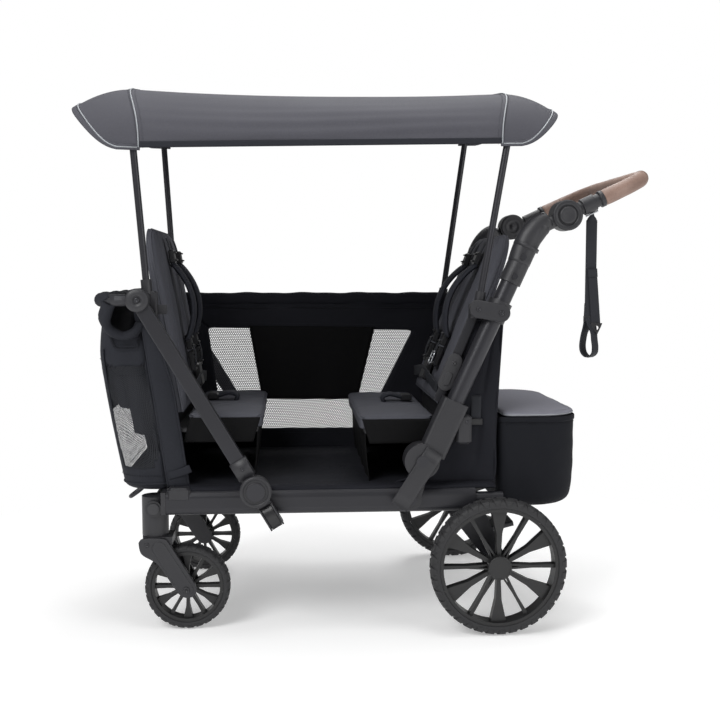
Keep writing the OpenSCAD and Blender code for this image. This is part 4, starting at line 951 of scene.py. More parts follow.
half_wall = wall_thickness / 2
trough_line = smooth_path([
    (front_wall(0.702) + half_wall, 0, 0.702), (front_wall(0.50) + half_wall, 0, 0.50),
    (front_wall(0.34) + half_wall, 0, 0.34), (front_wall(0.31) + 0.012, 0, 0.3125),
    (-0.36, 0, floor_low + half_wall), (0.0, 0, floor_low + half_wall), (0.25, 0, floor_low + half_wall),
    (0.282, 0, 0.3145), (rear_wall(0.34) - half_wall, 0, 0.345), (rear_wall(0.44) - half_wall, 0, 0.44),
    (rear_wall(0.702) - half_wall, 0, 0.702)], 0.012)
trough_across = np.linspace(-cabin_half_width, trough_far_side, 46)
trough_grid = trough_line[:, None] + np.array(ACROSS) * trough_across[None, :, None]
trough, trough_area = wavy_sheet("cabin_trough", trough_grid, 0.0022, 1.3, 0.0048)

# %% [markdown]
# Two cloth strips lie over the rails, and a rounded cheek closes the corner beside the rear seat. They are
# sewn to the trough and become one piece with it.

# %% Sills, cheek and rims
def sill(side):
    """Cloth strip over a rail, turned down over its outer shoulder."""
    xs = np.linspace(-0.396, 0.284, 72)
    ys = np.array([0.2375, 0.246, 0.253, 0.260, 0.2665, 0.2700]) * side
    rise = np.array([0.0, 0.0006, 0.0010, 0.0004, -0.0026, -0.0070])
    grid = [[(x, y, 0.3112 + r + 0.0007 * math.sin(x * 47 + i)) for i, (y, r) in enumerate(zip(ys, rise))]
            for x in xs]
    return thicken(sheet_piece("sill", grid), 0.0030, 0.0)


def rear_cheek():
    """Upright cloth panel with a curved front edge, bulging a little to the outside."""
    rows = []
    for height in np.linspace(0.302, 0.660, 44):
        round_part = np.clip((height - 0.312) / 0.169, 0, 1)
        start = 0.070 + 0.095 * math.sin(math.acos(1 - round_part)) + 0.44 * max(height - 0.481, 0.0)
        xs = np.linspace(start, rear_wall(height) - half_wall, 34)
        share = np.linspace(0, 1, 34)
        bulge = 0.0055 * math.sin(math.pi * (height - 0.302) / 0.358) * np.sin(np.pi * share) ** 0.7
        fold = 0.0016 * np.sin(xs * 60 + height * 45) + 0.0030 * np.exp(-((share - 0.72) / 0.05) ** 2)
        rows.append([(x, -0.2425 - b + f, height) for x, b, f in zip(xs, bulge, fold)])
    edge = [np.array(row[0]) for row in rows] + [np.array(p) for p in rows[-1][1:]]
    panel = thicken(sheet_piece("rear_cheek", rows), 0.0030, 0.0)
    piping = sweep_piece("cheek_edge", smooth_path(edge, 0.008), circle(0.0034, 8), ACROSS)
    return [panel, piping]


def padded_rim(name, path, width, height):
    """A stuffed roll along an edge, with an oval section."""
    return sweep_piece(name, smooth_path(path, 0.006), circle(0.5, 14) * (width, height), UPWARDS)


rim_z = 0.697
rim_lines = [[(x + (half_wall if x < 0 else -half_wall), y, rim_z + 0.0025 * math.sin(y * 40 + x))
              for y in np.linspace(-0.243, 0.237, 25)] for x in (front_wall(rim_z), rear_wall(rim_z))]
trough_rims = [padded_rim("trough_rim", line, 0.026, 0.0105) for line in rim_lines]
cabin_tub = join("cabin_tub", [trough, *(sill(side) for side in SIDES), *rear_cheek(), *trough_rims])
finish_piece(cabin_tub, "chassis", cabin_cloth, ["fabric_tub"])

# %% [markdown]
# ## The far side with its window
# The far wall is a frame of cloth round a net window, with a flap over the window's middle. Window and wall
# have four edges each, so the cloth is a loft from one outline to the other.

# %% Wall, net and flap
panel_y = 0.241
window_corners = [(-0.360, 0.621), (-0.325, 0.362), (0.036, 0.360), (0.164, 0.613)]
wall_top, wall_foot = 0.700, 0.3085
wall_corners = [(front_wall(wall_top), wall_top), (front_wall(wall_foot), wall_foot), (0.290, wall_foot),
                (rear_wall(wall_top), wall_top)]


def soften(corners, rounds):
    """Points along the four edges of an outline, with its corners drawn in round by round."""
    ends = corners[1:] + corners[:1]
    loop = np.array([np.add(a, np.subtract(b, a) * k / 40) for a, b in zip(corners, ends) for k in range(40)])
    for _ in range(rounds):
        loop = (np.roll(loop, 1, axis=0) + 2 * loop + np.roll(loop, -1, axis=0)) / 4
    return loop


outer_loop, inner_loop = soften(wall_corners, 2), soften(window_corners, 1)
steps = np.linspace(0, 1, 14)[:, None, None]
wall_xz = outer_loop[None] * (1 - steps) + inner_loop[None] * steps
wall_xz = np.concatenate([wall_xz, wall_xz[:, :1]], axis=1)
wall_grid = np.stack([wall_xz[..., 0], np.full(wall_xz.shape[:2], panel_y), wall_xz[..., 1]], axis=2)
fade = np.sin(np.pi * np.linspace(0, 1, 14))[:, None]
wall_grid[..., 1] += 0.0030 * fade * slow_waves(wall_grid[..., 0], wall_grid[..., 2], 0.7)
side_wall = face_outwards(thicken(sheet_piece("side_wall", wall_grid), 0.0042, 0.0))


def patch(corners, y, rows, cols):
    """Flat grid between four corners, listed from the upper front one round to the upper rear one."""
    a, b, c, d = (np.array(p) for p in corners)
    v, u = np.linspace(0, 1, rows)[:, None, None], np.linspace(0, 1, cols)[None, :, None]
    flat = (a * (1 - u) + d * u) * (1 - v) + (b * (1 - u) + c * u) * v
    return np.stack([flat[..., 0], np.full(flat.shape[:2], y), flat[..., 1]], axis=2)


net_grid = patch([(-0.366, 0.626), (-0.331, 0.356), (0.040, 0.354), (0.172, 0.618)], panel_y, 28, 50)
net_grid[..., 1] += 0.0012 * slow_waves(net_grid[..., 0] * 1.5, net_grid[..., 2] * 1.5, 2.1)
net = finish_piece(sheet_piece("window_net", net_grid), "chassis", window_net)
flap_grid = patch([(-0.254, 0.626), (-0.222, 0.440), (0.020, 0.438), (0.064, 0.622)], 0.2362, 30, 44)
hang = np.linspace(0, 1, 30)[:, None]
flap_grid[..., 1] += -0.0040 * hang ** 2 + 0.0022 * hang * np.sin(flap_grid[..., 0] * 52 + 0.6)
flap = thicken(sheet_piece("window_flap", flap_grid), 0.0024, 0.0)
flap_edge = np.vstack([flap_grid[:, 0], flap_grid[-1, 1:], flap_grid[::-1, -1][1:]])
flap_binding = sweep_piece("flap_binding", smooth_path(flap_edge, 0.006), flat_section(0.009, 0.0042), ACROSS)
rim_xs = np.linspace(front_wall(rim_z) + 0.004, rear_wall(rim_z) - 0.004, 40)
rim_line = [(x, panel_y, 0.6955 + 0.0010 * math.sin(x * 43) + 0.0007 * math.sin(x * 90)) for x in rim_xs]
side_rim = padded_rim("side_rim", rim_line, 0.030, 0.0125)
far_wall = join("far_wall", [side_wall, side_rim])
# The flap's near-black cloth is painted shade.
window_flap = finish_piece(join("window_flap", [flap, flap_binding]), "chassis", lining_cloth)
finish_piece(far_wall, "chassis", cabin_cloth, ["right_side_panel"])
seam_xs = np.linspace(-0.445, 0.305, 90)
zip_line = [[(x, panel_y - 0.0030, 0.672 + 0.0012 * math.sin(x * 31)) for x in seam_xs]]
zip_teeth = stitches("zip_teeth", zip_line, "chassis", webbing, 0.0026, 0.0014, 0.0030)
seams = [[(x, panel_y - 0.0027, level) for x in seam_xs] for level in (0.678, 0.666)]
window_seam = soften([(x + 0.10 * (x + 0.1), z + 0.10 * (z - 0.48)) for x, z in window_corners], 26)
seams.append([(x, panel_y - 0.0028, z) for x, z in window_seam])
wall_seams = stitches("wall_seams", seams, "chassis", bag_cloth, 0.0062)
wall_area = round(grid_area(wall_grid), 3)
print("far wall, less its window:", wall_area, "square metres")

# %% [markdown]
# ## Cushions and seat backs
# A stuffed pad swells between its seams: a crown in the middle, soft shoulders, sewn channels and sides that
# draw in. One rule gives the top and the base of a pad over a square from -1 to 1, the rim is filled with a
# rounded wall, and a little unevenness keeps the cloth from looking machined.

# %% One pad
def pad_crown(s, q, edge):
    """Share of the full thickness at a place of the pad."""
    return edge + (1 - edge) * ((1 - np.abs(s) ** 6) * (1 - np.abs(q) ** 8)) ** 0.4


def pad_channels(q, places, width):
    """Valleys from 0 to 1 along the pad, at places across it."""
    return sum(np.exp(-((q - place) / width) ** 2) for place in places)


def pad_piece(name, top, base, bulge):
    """A closed pad from two grids with a shared outline, and a rounded wall between their borders."""
    rows, cols = top.shape[:2]
    border = ([(0, c) for c in range(cols)] + [(r, cols - 1) for r in range(1, rows)]
              + [(rows - 1, c) for c in range(cols - 2, -1, -1)] + [(r, 0) for r in range(rows - 2, 0, -1)])
    high = np.array([top[k] for k in border])
    low = np.array([base[k] for k in border])
    middle = (high + low) / 2
    outwards = middle - middle.mean(axis=0)
    drop = (high - low) / np.linalg.norm(high - low, axis=1)[:, None]
    outwards -= (outwards * drop).sum(1)[:, None] * drop
    outwards /= np.linalg.norm(outwards, axis=1)[:, None]
    rings = [high * (1 - k) + low * k + outwards * bulge * math.sin(math.pi * k)
             for k in (0.12, 0.35, 0.65, 0.88)]
    count, size = rows * cols, len(border)
    points = np.vstack([top.reshape(-1, 3), base.reshape(-1, 3), *rings])
    faces = grid_faces(rows, cols) + [tuple(count + k for k in reversed(f)) for f in grid_faces(rows, cols)]
    rim = [r * cols + c for r, c in border]
    walls = [[2 * count + size * k + i for i in range(size)] for k in range(len(rings))]
    levels = [rim, *walls, [count + k for k in rim]]
    for upper, lower in zip(levels[:-1], levels[1:]):
        faces += [(upper[i], lower[i], lower[(i + 1) % size], upper[(i + 1) % size]) for i in range(size)]
    return face_outwards(new_piece(name, points, faces))


def border_line(grid):
    """The outline of a grid as one closed line of points."""
    return np.vstack([grid[0], grid[1:, -1], grid[-1, -2::-1], grid[-2:0:-1, 0]])


quarter = math.pi / 2
pad_s = np.sin(np.linspace(-quarter, quarter, 41))[:, None]
pad_q = (np.sin(np.linspace(-quarter, quarter, 81)) * 0.25 + np.linspace(-1, 1, 81) * 0.75)[None, :]

# %% [markdown]
# The cushions lie on their boards. Each gets two sewn channels, a piping along its upper edge, a skirt of
# cloth that hangs from its front edge and a short cloth at the door's side. Both hanging cloths are
# near-black, as painted shade under the seat.

# %% Seat cushions
seat_half_width = 0.232
cushion_thickness = 0.033
cushion_places = {"front": (-0.367, -0.211, 0.432), "rear": (-0.003, 0.157, 0.425)}


def cushion(name, x_low, x_high, z):
    """A seat cushion with its piping."""
    depth = x_high - x_low
    drawn_s = 1 - 0.015 * (1 - pad_s ** 2)
    drawn_q = 1 - 0.015 * (1 - pad_q ** 2)
    x = x_low + depth / 2 * (1 + pad_s * drawn_q)
    y = seat_half_width * pad_q * drawn_s
    corner = np.clip(np.abs(pad_s) ** 8 + np.abs(pad_q) ** 24 - 1, 0, 1)
    x = x - np.sign(pad_s) * corner * 0.010
    y = y - np.sign(pad_q) * corner * 0.010
    valleys = pad_channels(pad_q, (-1 / 3, 1 / 3), 0.022) * (1 - pad_s ** 8)
    uneven = slow_waves(x * 1.4, y * 1.4, 4.2) * (1 - pad_s ** 4) * (1 - pad_q ** 4)
    height = cushion_thickness * pad_crown(pad_s, pad_q, 0.72) - 0.0055 * valleys + 0.0012 * uneven
    top = np.stack([x, y, z + height], axis=2)
    base = np.stack([x, y, np.full_like(x, z + 0.0008)], axis=2)
    made = smooth_levels(pad_piece(name, top, base, 0.0030), 1)
    edge = smooth_path(border_line(top)[::2] + (0, 0, -0.0012), 0.006)
    piping = sweep_piece("cushion_piping", edge, circle(0.0026, 8), UPWARDS, closed=True)
    return join(name, [made, piping])


def hang_cloth(name, rows, thickness):
    """A cloth that hangs from a seat board, in near-black cloth that paints the shade under the seat."""
    made = thicken(sheet_piece(name, rows), thickness, 0.0)
    finish_piece(made, "chassis", lining_cloth)


for seat, (x_low, x_high, z) in cushion_places.items():
    made = cushion(f"{seat}_cushion", x_low, x_high, z)
    finish_piece(made, "chassis", seat_cloth, [f"{seat}_seat_cushion"])
    front_x, facing = (x_high, 1) if seat == "front" else (x_low, -1)
    skirt = [[(front_x - facing * (0.012 + 0.010 * k * k) + 0.0025 * k * math.sin(y * 52 + facing), y,
               z - 0.010 - 0.108 * k) for y in np.linspace(-0.226, 0.226, 60)] for k in np.linspace(0, 1, 16)]
    hang_cloth(f"{seat}_skirt", skirt, 0.0022)
    side_xs = np.linspace(x_low + 0.004, x_high - 0.004, 30)
    side_cloth = [[(x - facing * 0.016 * k, -0.2335 - 0.0012 * math.sin(x * 75) * k, z + 0.022 - 0.052 * k)
                   for x in side_xs] for k in np.linspace(0, 1, 10)]
    hang_cloth(f"{seat}_side_skirt", side_cloth, 0.0020)

# %% [markdown]
# A seat back is the same kind of pad, stood up and leaned back about its lower front edge. Working in the
# pad's own upright frame and turning it at the end keeps the numbers simple.

# %% Seat backs
back_half_width = 0.224
back_thickness = 0.042
back_corner = 0.090
quilt_places = (-0.78, -0.33, 0.33, 0.78)
SEATS = {"front": ((-0.365, 0.470), 0.392, math.radians(10.2), 1),
         "rear": ((0.160, 0.480), 0.396, math.radians(22.0), -1)}


def on_seat(seat, points):
    """Points of an upright seat back, given as forwards, across and up, moved to their seat."""
    (hinge_x, hinge_z), _, lean, facing = SEATS[seat]
    points = np.asarray(points, float)
    ahead, across, up = points[..., 0], points[..., 1], points[..., 2]
    x = hinge_x + facing * (ahead * math.cos(lean) - up * math.sin(lean))
    return np.stack([x, across * facing, hinge_z + ahead * math.sin(lean) + up * math.cos(lean)], axis=-1)


def seat_back(seat):
    """A seat back with its pipings and its quilting."""
    _, length, _, facing = SEATS[seat]
    up = length / 2 * (1 + pad_s)
    over = np.clip(up - length + back_corner, 0, back_corner)
    half = back_half_width - back_corner + np.sqrt(back_corner ** 2 - over ** 2)
    half = np.maximum(half, back_half_width - back_corner + 0.012) * (1 - 0.015 * (1 - pad_s ** 2))
    across = half * pad_q
    up = up + 0 * pad_q
    quilts = pad_channels(pad_q, quilt_places, 0.020) * (1 - pad_s ** 10)
    uneven = slow_waves(up * 1.3, across * 1.3, 5.1 + facing) * (1 - pad_s ** 4) * (1 - pad_q ** 4)
    ahead = back_thickness * (pad_crown(pad_s, pad_q, 0.64) - 1) - 0.0050 * quilts + 0.0012 * uneven
    front = np.stack([ahead, across, up], axis=2)
    rear = np.stack([0.001 - back_thickness + 0.020 * up / length, across, up], axis=2)
    pad = smooth_levels(pad_piece(f"{seat}_back", on_seat(seat, front), on_seat(seat, rear), 0.0030), 1)
    pipings = []
    for grid in (front, rear):
        edge = smooth_path(on_seat(seat, border_line(grid)[::2]), 0.006)
        pipings.append(sweep_piece("back_piping", edge, circle(0.0027, 8), (facing, 0, 0.2), closed=True))
    made = join(f"{seat}_back", [pad, *pipings])
    finish_piece(made, f"{seat}_back", seat_cloth, [f"{seat}_seat_back"])
    lines = [on_seat(seat, front[3:-3, np.abs(pad_q[0] - q).argmin()] + (0.0006, 0, 0)) for q in quilt_places]
    stitches(f"{seat}_quilting", lines, f"{seat}_back", seat_cloth)


for seat in SEATS:
    seat_back(seat)

# %% [markdown]
# ## The front bag
# The bag hangs between the front bar and the cabin. At each height its plan is a rectangle with wide round
# corners in front, so the bag is a loft of such plans, drawn in towards its foot. Its sides slump between the
# bar and the wall. A net window goes round its front and sides, cut out of the loft and hung again in net.

# %% Plans and lofts
def rounded_plan(x0, x1, half, front_r, back_r, count):
    """Closed plan of points with two pairs of round corners, from the middle of its x1 edge."""
    turns = np.linspace(0, math.pi / 2, 10)
    corners = [(x1 - back_r, half - back_r, back_r, 0), (x0 + front_r, half - front_r, front_r, 1),
               (x0 + front_r, front_r - half, front_r, 2), (x1 - back_r, back_r - half, back_r, 3)]
    line = [(x1, 0.0)]
    for cx, cy, r, quarter in corners:
        line += [(cx + r * math.cos(t + quarter * math.pi / 2), cy + r * math.sin(t + quarter * math.pi / 2))
                 for t in turns]
    line = np.array(line + [(x1, 0.0)])
    return resample(line, np.linspace(0, run_along(line)[-1], count, endpoint=False))


def loft_piece(name, rings, keep=None):
    """Closed rings become a skin; keep chooses cells, given the middle of each."""
    rows, cols = rings.shape[:2]
    faces = grid_faces(rows, cols, wrap=True)
    points = rings.reshape(-1, 3)
    if keep is not None:
        faces = [f for f in faces if keep(points[list(f)].mean(axis=0))]
    made = new_piece(name, points, faces)
    closed = np.concatenate([rings, rings[:, :1]], axis=1)
    metres = np.stack([lengths_along(closed, axis)[:, :-1] for axis in (1, 0)], axis=2)
    set_uv(made, metres.reshape(-1, 2))
    loose = bmesh.new()
    loose.from_mesh(made.data)
    bmesh.ops.delete(loose, geom=[v for v in loose.verts if not v.link_faces], context="VERTS")
    loose.to_mesh(made.data)
    loose.free()
    return made


def round_foot(low, radius):
    """Heights and insets of a quarter round at the foot of a loft."""
    turns = np.linspace(0, math.pi / 2, 7)
    return [(low + radius * (1 - math.cos(t)), radius * (1 - math.sin(t))) for t in turns]


def closed_grid(rings):
    """Rings with a column repeated at each end, and the normals of the rings."""
    closed = np.concatenate([rings[:, -1:], rings, rings[:, :1]], axis=1)
    return closed, grid_normals(closed)[:, 1:-1]


bag_low, bag_high = 0.3010, 0.6912
bag_half_width = 0.240


def bag_front(z):
    """Front of the bag at a height: upright above its bulge, drawn in below."""
    share = np.clip(1 - (z - bag_low) / (bag_high - bag_low) / 0.74, 0, None)
    return -0.556 + 0.050 * share ** 1.2


def bag_ring(z, inset, count=220):
    """Plan of the bag at a height, drawn in at the foot."""
    return rounded_plan(bag_front(z) + inset, front_wall(z) - 0.0045 - 0.3 * inset, bag_half_width - inset,
                        0.055, 0.014, count)


# %% The bag's skin
foot_round = 0.014
bag_rows = [(bag_low + 0.0015, 0.085), (bag_low + 0.0010, 0.045)]
bag_rows += round_foot(bag_low, foot_round)
bag_rows += [(z, 0.0) for z in np.linspace(bag_low + foot_round, bag_high, 44)[1:]]
bag_grid = np.array([[(x, y, z) for x, y in bag_ring(z, inset)] for z, inset in bag_rows])
ahead = bag_grid[..., 0] - bag_grid[..., 0].min(axis=1, keepdims=True)
depth = np.ptp(bag_grid[..., 0], axis=1)[:, None]
rise = np.clip((bag_grid[..., 2] - bag_low) / (bag_high - bag_low), 0, 1)
at_side = smooth_step((np.abs(bag_grid[..., 1]) - 0.185) / 0.05)
at_front = 1 - smooth_step(ahead / 0.045)
near_top = np.clip((rise - 0.72) / 0.28, 0, 1) ** 2
slump = 0.064 * at_side * smooth_step((ahead - 0.010) / 0.036) * smooth_step((depth - ahead) / 0.016 + 0.25)
bag_grid[..., 0] += 0.0150 * at_front * near_top
spread = at_side * (0.050 * at_front * near_top + 0.006 * np.sin(np.pi * rise))
bag_grid[..., 1] += np.sign(bag_grid[..., 1]) * spread
bag_grid[..., 2] += 0.0125 * at_front * near_top - slump * rise ** 2
closed_bag, bag_normals = closed_grid(bag_grid)
folds = slow_waves(bag_grid[..., 2] * 1.6, bag_grid[..., 0] * 2 + bag_grid[..., 1] * 1.6, 0.4)
away = smooth_step(np.minimum(ahead / 0.02, 1) * np.minimum((depth - ahead) / 0.02, 1))
bag_grid = bag_grid + bag_normals * (0.0026 * folds * smooth_step(rise * 6) * away)[..., None]
net_high = 0.566


def in_bag_window(middle):
    """The net goes round the front and both sides, up to the seam at the cabin's wall."""
    x, y, z = middle
    back = front_wall(z) - 0.010 - 0.018 * smooth_step((0.385 - z) / 0.03)
    corner_seam = abs(y) > 0.180 and x < bag_front(z) + 0.010
    low = 0.346 if abs(y) > 0.205 else 0.324
    return x < back and low < z < net_high and not corner_seam


bag_skin = thicken(loft_piece("front_bag_cloth", bag_grid, lambda m: not in_bag_window(m)), 0.0032)
net_waves = 0.0020 * np.sin(bag_grid[..., 2] * 70 + bag_grid[..., 0] * 90)
bag_net = loft_piece("front_bag_net", bag_grid + bag_normals * net_waves[..., None], in_bag_window)
finish_piece(bag_net, "chassis", pocket_net)

# %% [markdown]
# A thick stuffed roll hems the bag's mouth. At the front it is wrapped round the front bar, at the sides it
# slumps, and a helper gives a swept tube its own radius at every step. Inside the net hang two pockets of
# dark cloth, and at each side a strip of cloth closes the corner between bag and cabin.

# %% Hem, pockets and corner strips
def scale_rings(made, path, sides, radii):
    """Scales the rings of a tube that was swept with radius one."""
    points = np.empty(len(made.data.vertices) * 3)
    made.data.vertices.foreach_get("co", points)
    points = points.reshape(len(path), sides, 3)
    points = path[:, None] + (points - path[:, None]) * np.broadcast_to(radii, points.shape[:2])[..., None]
    made.data.vertices.foreach_set("co", points.ravel())
    made.data.update()
    return points


bar_z, bar_x, bar_corner = 0.704, -0.540, 0.050
bar_corner_y = 0.2916 - bar_corner
half_hem = [(bar_x + bar_corner * (1 - math.cos(t)), bar_corner_y + bar_corner * math.sin(t), bar_z)
            for t in np.radians([0, 20, 40, 56])]
half_hem = [(bar_x, 0.10, bar_z)] + half_hem
half_hem += [(-0.524, 0.280, 0.688), (-0.531, 0.271, 0.666), (-0.526, 0.259, 0.646), (-0.513, 0.251, 0.634),
             (-0.495, 0.2475, 0.629), (-0.475, 0.246, 0.636), (-0.464, 0.243, 0.656), (-0.4675, 0.236, 0.684)]
half_hem = np.array(half_hem)
hem_path = smooth_path(np.vstack([half_hem[::-1], [(bar_x, 0.0, bar_z)], half_hem * (1, -1, 1)]), 0.006)
on_bar = smooth_step((hem_path[:, 2] - 0.640) / 0.05) * smooth_step((-0.49 - hem_path[:, 0]) / 0.02)
hem_radii = 0.0100 + 0.0044 * on_bar
hem_radii += 0.0006 * np.sin(np.arange(len(hem_path)) * 0.9)
bag_hem = sweep_piece("bag_hem", hem_path, circle(1.0, 14), (0, 0.3, 1))
scale_rings(bag_hem, hem_path, 14, hem_radii[:, None])
edge = np.array(bag_grid[8])
foot_piping = sweep_piece("foot_piping", smooth_path(np.vstack([edge, edge[:1]])[::2], 0.007)[:-1],
                          circle(0.0026, 8), UPWARDS, closed=True)
pocket_top = 0.60
front_pocket = [[(bag_front(z) + 0.014, y, z) for y in np.linspace(-0.232, 0.232, 40)]
                for z in np.linspace(0.474, pocket_top, 14)]
bag_parts = [bag_skin, bag_hem, foot_piping, thicken(sheet_piece("front_pocket", front_pocket), 0.0018, 0.0)]
pocket_foot = [(-0.545, 0.545), (-0.512, 0.475), (-0.493, 0.470), (-0.484, 0.418), (-0.447, 0.412),
               (-0.432, 0.352), (-0.400, 0.345)]
pocket_lean = 0.018
pocket_xs = np.linspace(bag_front(pocket_top) + 0.006, front_wall(pocket_top) - 0.005, 40)
pocket_low = np.interp(pocket_xs + pocket_lean, *np.array(pocket_foot).T)
share = np.linspace(0, 1, 12)
for side in SIDES:
    pocket = []
    for k in np.linspace(0, 1, 24):
        z = pocket_top + (pocket_low - pocket_top) * k
        x = np.maximum(pocket_xs + pocket_lean * k, bag_front(z) + 0.010)
        x = np.minimum(x, front_wall(z) - 0.005)
        pocket.append(np.stack([x, side * (0.205 + 0.006 * k * np.sin(pocket_xs * 140)), z], axis=1))
    bag_parts.append(thicken(sheet_piece("inner_pocket", pocket), 0.0018, 0.0))
    strip = []
    for z in np.linspace(0.306, 0.650, 36):
        x = front_wall(z) - 0.005 + share * (0.043 - 0.010 * smooth_step((z - 0.5) / 0.1))
        y = side * (0.2445 + 0.0045 * np.sin(np.pi * share) ** 0.6 + 0.0010 * np.sin(z * 60 + share * 4))
        strip.append(np.stack([x, y, np.full(12, z)], axis=1))
    strip = np.array(strip)
    bag_parts.append(thicken(sheet_piece("corner_strip", strip), 0.0026, 0.0))
    for column in (0, -1):
        bag_parts.append(sweep_piece("strip_binding", strip[:, column], circle(0.0028, 8), ACROSS))
    tab = [(-0.408, side * 0.2505, 0.334), (-0.385, side * 0.2515, 0.340), (-0.362, side * 0.2500, 0.349)]
    tab = smooth_path(tab, 0.005)
    bag_parts.append(sweep_piece("closing_tab", tab, flat_section(0.017, 0.0030), UPWARDS))
bag_piece = join("front_bag_shell", bag_parts)
finish_piece(bag_piece, "chassis", bag_cloth, ["front_bag"])


# %% Zip, seams and loops
def ring_on_bag(row, lift):
    """A closed line round the bag, a little off its cloth."""
    return list(bag_grid[row] + bag_normals[row] * lift) + [bag_grid[row, 0] + bag_normals[row, 0] * lift]


bag_zip = stitches("bag_zip", [ring_on_bag(-5, 0.0014)], "chassis", webbing, 0.0026, 0.0014, 0.0034)
seam_rings = [ring_on_bag(row, 0.0012) for row in (-6, -4, -14, 10)]
bag_seams = stitches("bag_seams", seam_rings, "chassis", cabin_cloth, thickness=0.0012)
loops = []
for y in (-0.20, -0.07, 0.07, 0.20):
    turn = np.linspace(0, 2 * math.pi, 25)[:-1]
    ring = np.stack([bar_x + 0.0152 * np.cos(turn), np.full(24, y), bar_z + 0.0152 * np.sin(turn)], axis=1)
    loops.append(sweep_piece("bar_loop", ring, flat_section(0.026, 0.0020), ACROSS, closed=True))
bar_loops = finish_piece(join("bar_loops", loops), "chassis", webbing)
bag_area = grid_area(closed_bag)
print("front bag cut from", round(bag_area, 3), "square metres")

# %% [markdown]
# ## The rear basket
# The basket is a stiffer loft with a rounded foot, and its lid is a thin stuffed panel whose edge carries the
# same silver piping as the canopy. The lid's pale grey is partly its own colour and partly painted light from
# above.

# %% Basket
basket_low, basket_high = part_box("rear_basket")
basket_reach = 0.018
basket_low.z -= 0.012
basket_high.x += basket_reach
basket_rows = [(0.0015, 0.075), (0.0008, 0.045)]
basket_foot = 0.026
basket_rows += round_foot(0.0, basket_foot)
basket_rows += [(z, 0.0) for z in np.linspace(basket_foot, basket_high.z - basket_low.z - 0.0015, 26)[1:]]
basket_grid = []
for z, inset in basket_rows:
    share = z / (basket_high.z - basket_low.z)
    taper = 0.006 * (1 - share)
    plan = rounded_plan(basket_low.x + 0.001 + inset, basket_high.x - taper - inset,
                        basket_high.y - inset - taper, 0.020, 0.070, 200)
    basket_grid.append([(x, y, basket_low.z + z) for x, y in plan])
basket_grid = np.array(basket_grid)
closed_basket, basket_normals = closed_grid(basket_grid)
share = np.clip((basket_grid[..., 2] - basket_low.z) / 0.187, 0, 1)
swell = 0.0040 * np.sin(np.pi * share)
swell += 0.0016 * slow_waves(basket_grid[..., 0] * 2, basket_grid[..., 2] * 2, 3.3)
clear_wall = smooth_step((basket_grid[..., 0] - basket_low.x - 0.004) / 0.02)
basket_grid = basket_grid + basket_normals * (swell * clear_wall * smooth_step(share * 5))[..., None]
basket_skin = thicken(loft_piece("basket_cloth", basket_grid), 0.0034)
rim = np.vstack([basket_grid[-1], basket_grid[-1, :1]])[::3] - (0, 0, 0.004)
rim = smooth_path(rim, 0.008)[:-1]
basket_rim = sweep_piece("basket_rim", rim, flat_section(0.012, 0.0052), UPWARDS, closed=True)
basket = join("basket_shell", [basket_skin, basket_rim])
finish_piece(basket, "chassis", basket_cloth, ["rear_basket"])
basket_seam = [list(basket_grid[-3] + basket_normals[-3] * 0.0008)]
basket_stitches = stitches("basket_stitches", basket_seam, "chassis", cabin_cloth)
basket_area = grid_area(closed_basket)
print("basket cut from", round(basket_area, 3), "square metres")

# %% Lid
lid_low, lid_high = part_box("basket_lid")
lid_high.x += basket_reach
lid_rows = [(0.0, 0.0), (0.0, 0.50), (0.0, 0.97), (0.0012, 0.99), (0.0035, 1.0), (0.0068, 0.998),
            (0.0088, 0.98), (0.0102, 0.94), (0.0112, 0.85), (0.0117, 0.70), (0.0120, 0.45), (0.0121, 0.20),
            (0.0121, 0.0)]
lid_plan = rounded_plan(lid_low.x, lid_high.x, lid_high.y, 0.020, 0.085, 180)
lid_middle = lid_plan.mean(axis=0)
lid_grid = np.array([[(x, y, lid_low.z + z) for x, y in lid_middle + (lid_plan - lid_middle) * share]
                     for z, share in lid_rows])
lid_grid[6:-1, :, 2] += 0.0006 * slow_waves(lid_grid[6:-1, :, 0] * 3, lid_grid[6:-1, :, 1] * 2, 1.1)
lid_skin = face_outwards(loft_piece("lid_pad", lid_grid))
finish_piece(lid_skin, "lid", lid_cloth, ["basket_lid"])
lid_edge = smooth_path(np.vstack([lid_grid[4], lid_grid[4, :1]])[::3] + (0, 0, 0.0008), 0.008)[:-1]
lid_piping = sweep_piece("lid_piping", lid_edge, circle(0.0012, 8), UPWARDS, closed=True)
finish_piece(lid_piping, "lid", silver)
lid_line = [list(lid_grid[7] + (0, 0, 0.0004))]
stitches("lid_stitches", lid_line, "lid", lid_cloth)

# %% [markdown]
# ## Harness
# Each seat has two shoulder straps. Webbing leaves the seat back through an adjuster, widens to a soft pad
# that stands off the seat in a bow, and runs on to the lap belt. Pads, webbing and plastic are three
# finishes, so they stay three pieces.

# %% Small plastic pieces
def box_piece(name, low, high, seat=None):
    """A block with cut edges, in a seat's own frame if one is named."""
    low, high = np.minimum(low, high), np.maximum(low, high)
    cut = 0.18 * np.min(high - low)
    points = []
    for inset, up in ((cut, low[2]), (0.0, low[2] + cut), (0.0, high[2] - cut), (cut, high[2])):
        x0, x1, y0, y1 = low[0] + inset, high[0] - inset, low[1] + inset, high[1] - inset
        points += [(x0 + cut, y0, up), (x1 - cut, y0, up), (x1, y0 + cut, up), (x1, y1 - cut, up),
                   (x1 - cut, y1, up), (x0 + cut, y1, up), (x0, y1 - cut, up), (x0, y0 + cut, up)]
    faces = grid_faces(4, 8, wrap=True) + [tuple(range(8))[::-1], tuple(range(24, 32))]
    points = points if seat is None else on_seat(seat, points)
    return face_outwards(new_piece(name, points, faces, smooth=False))


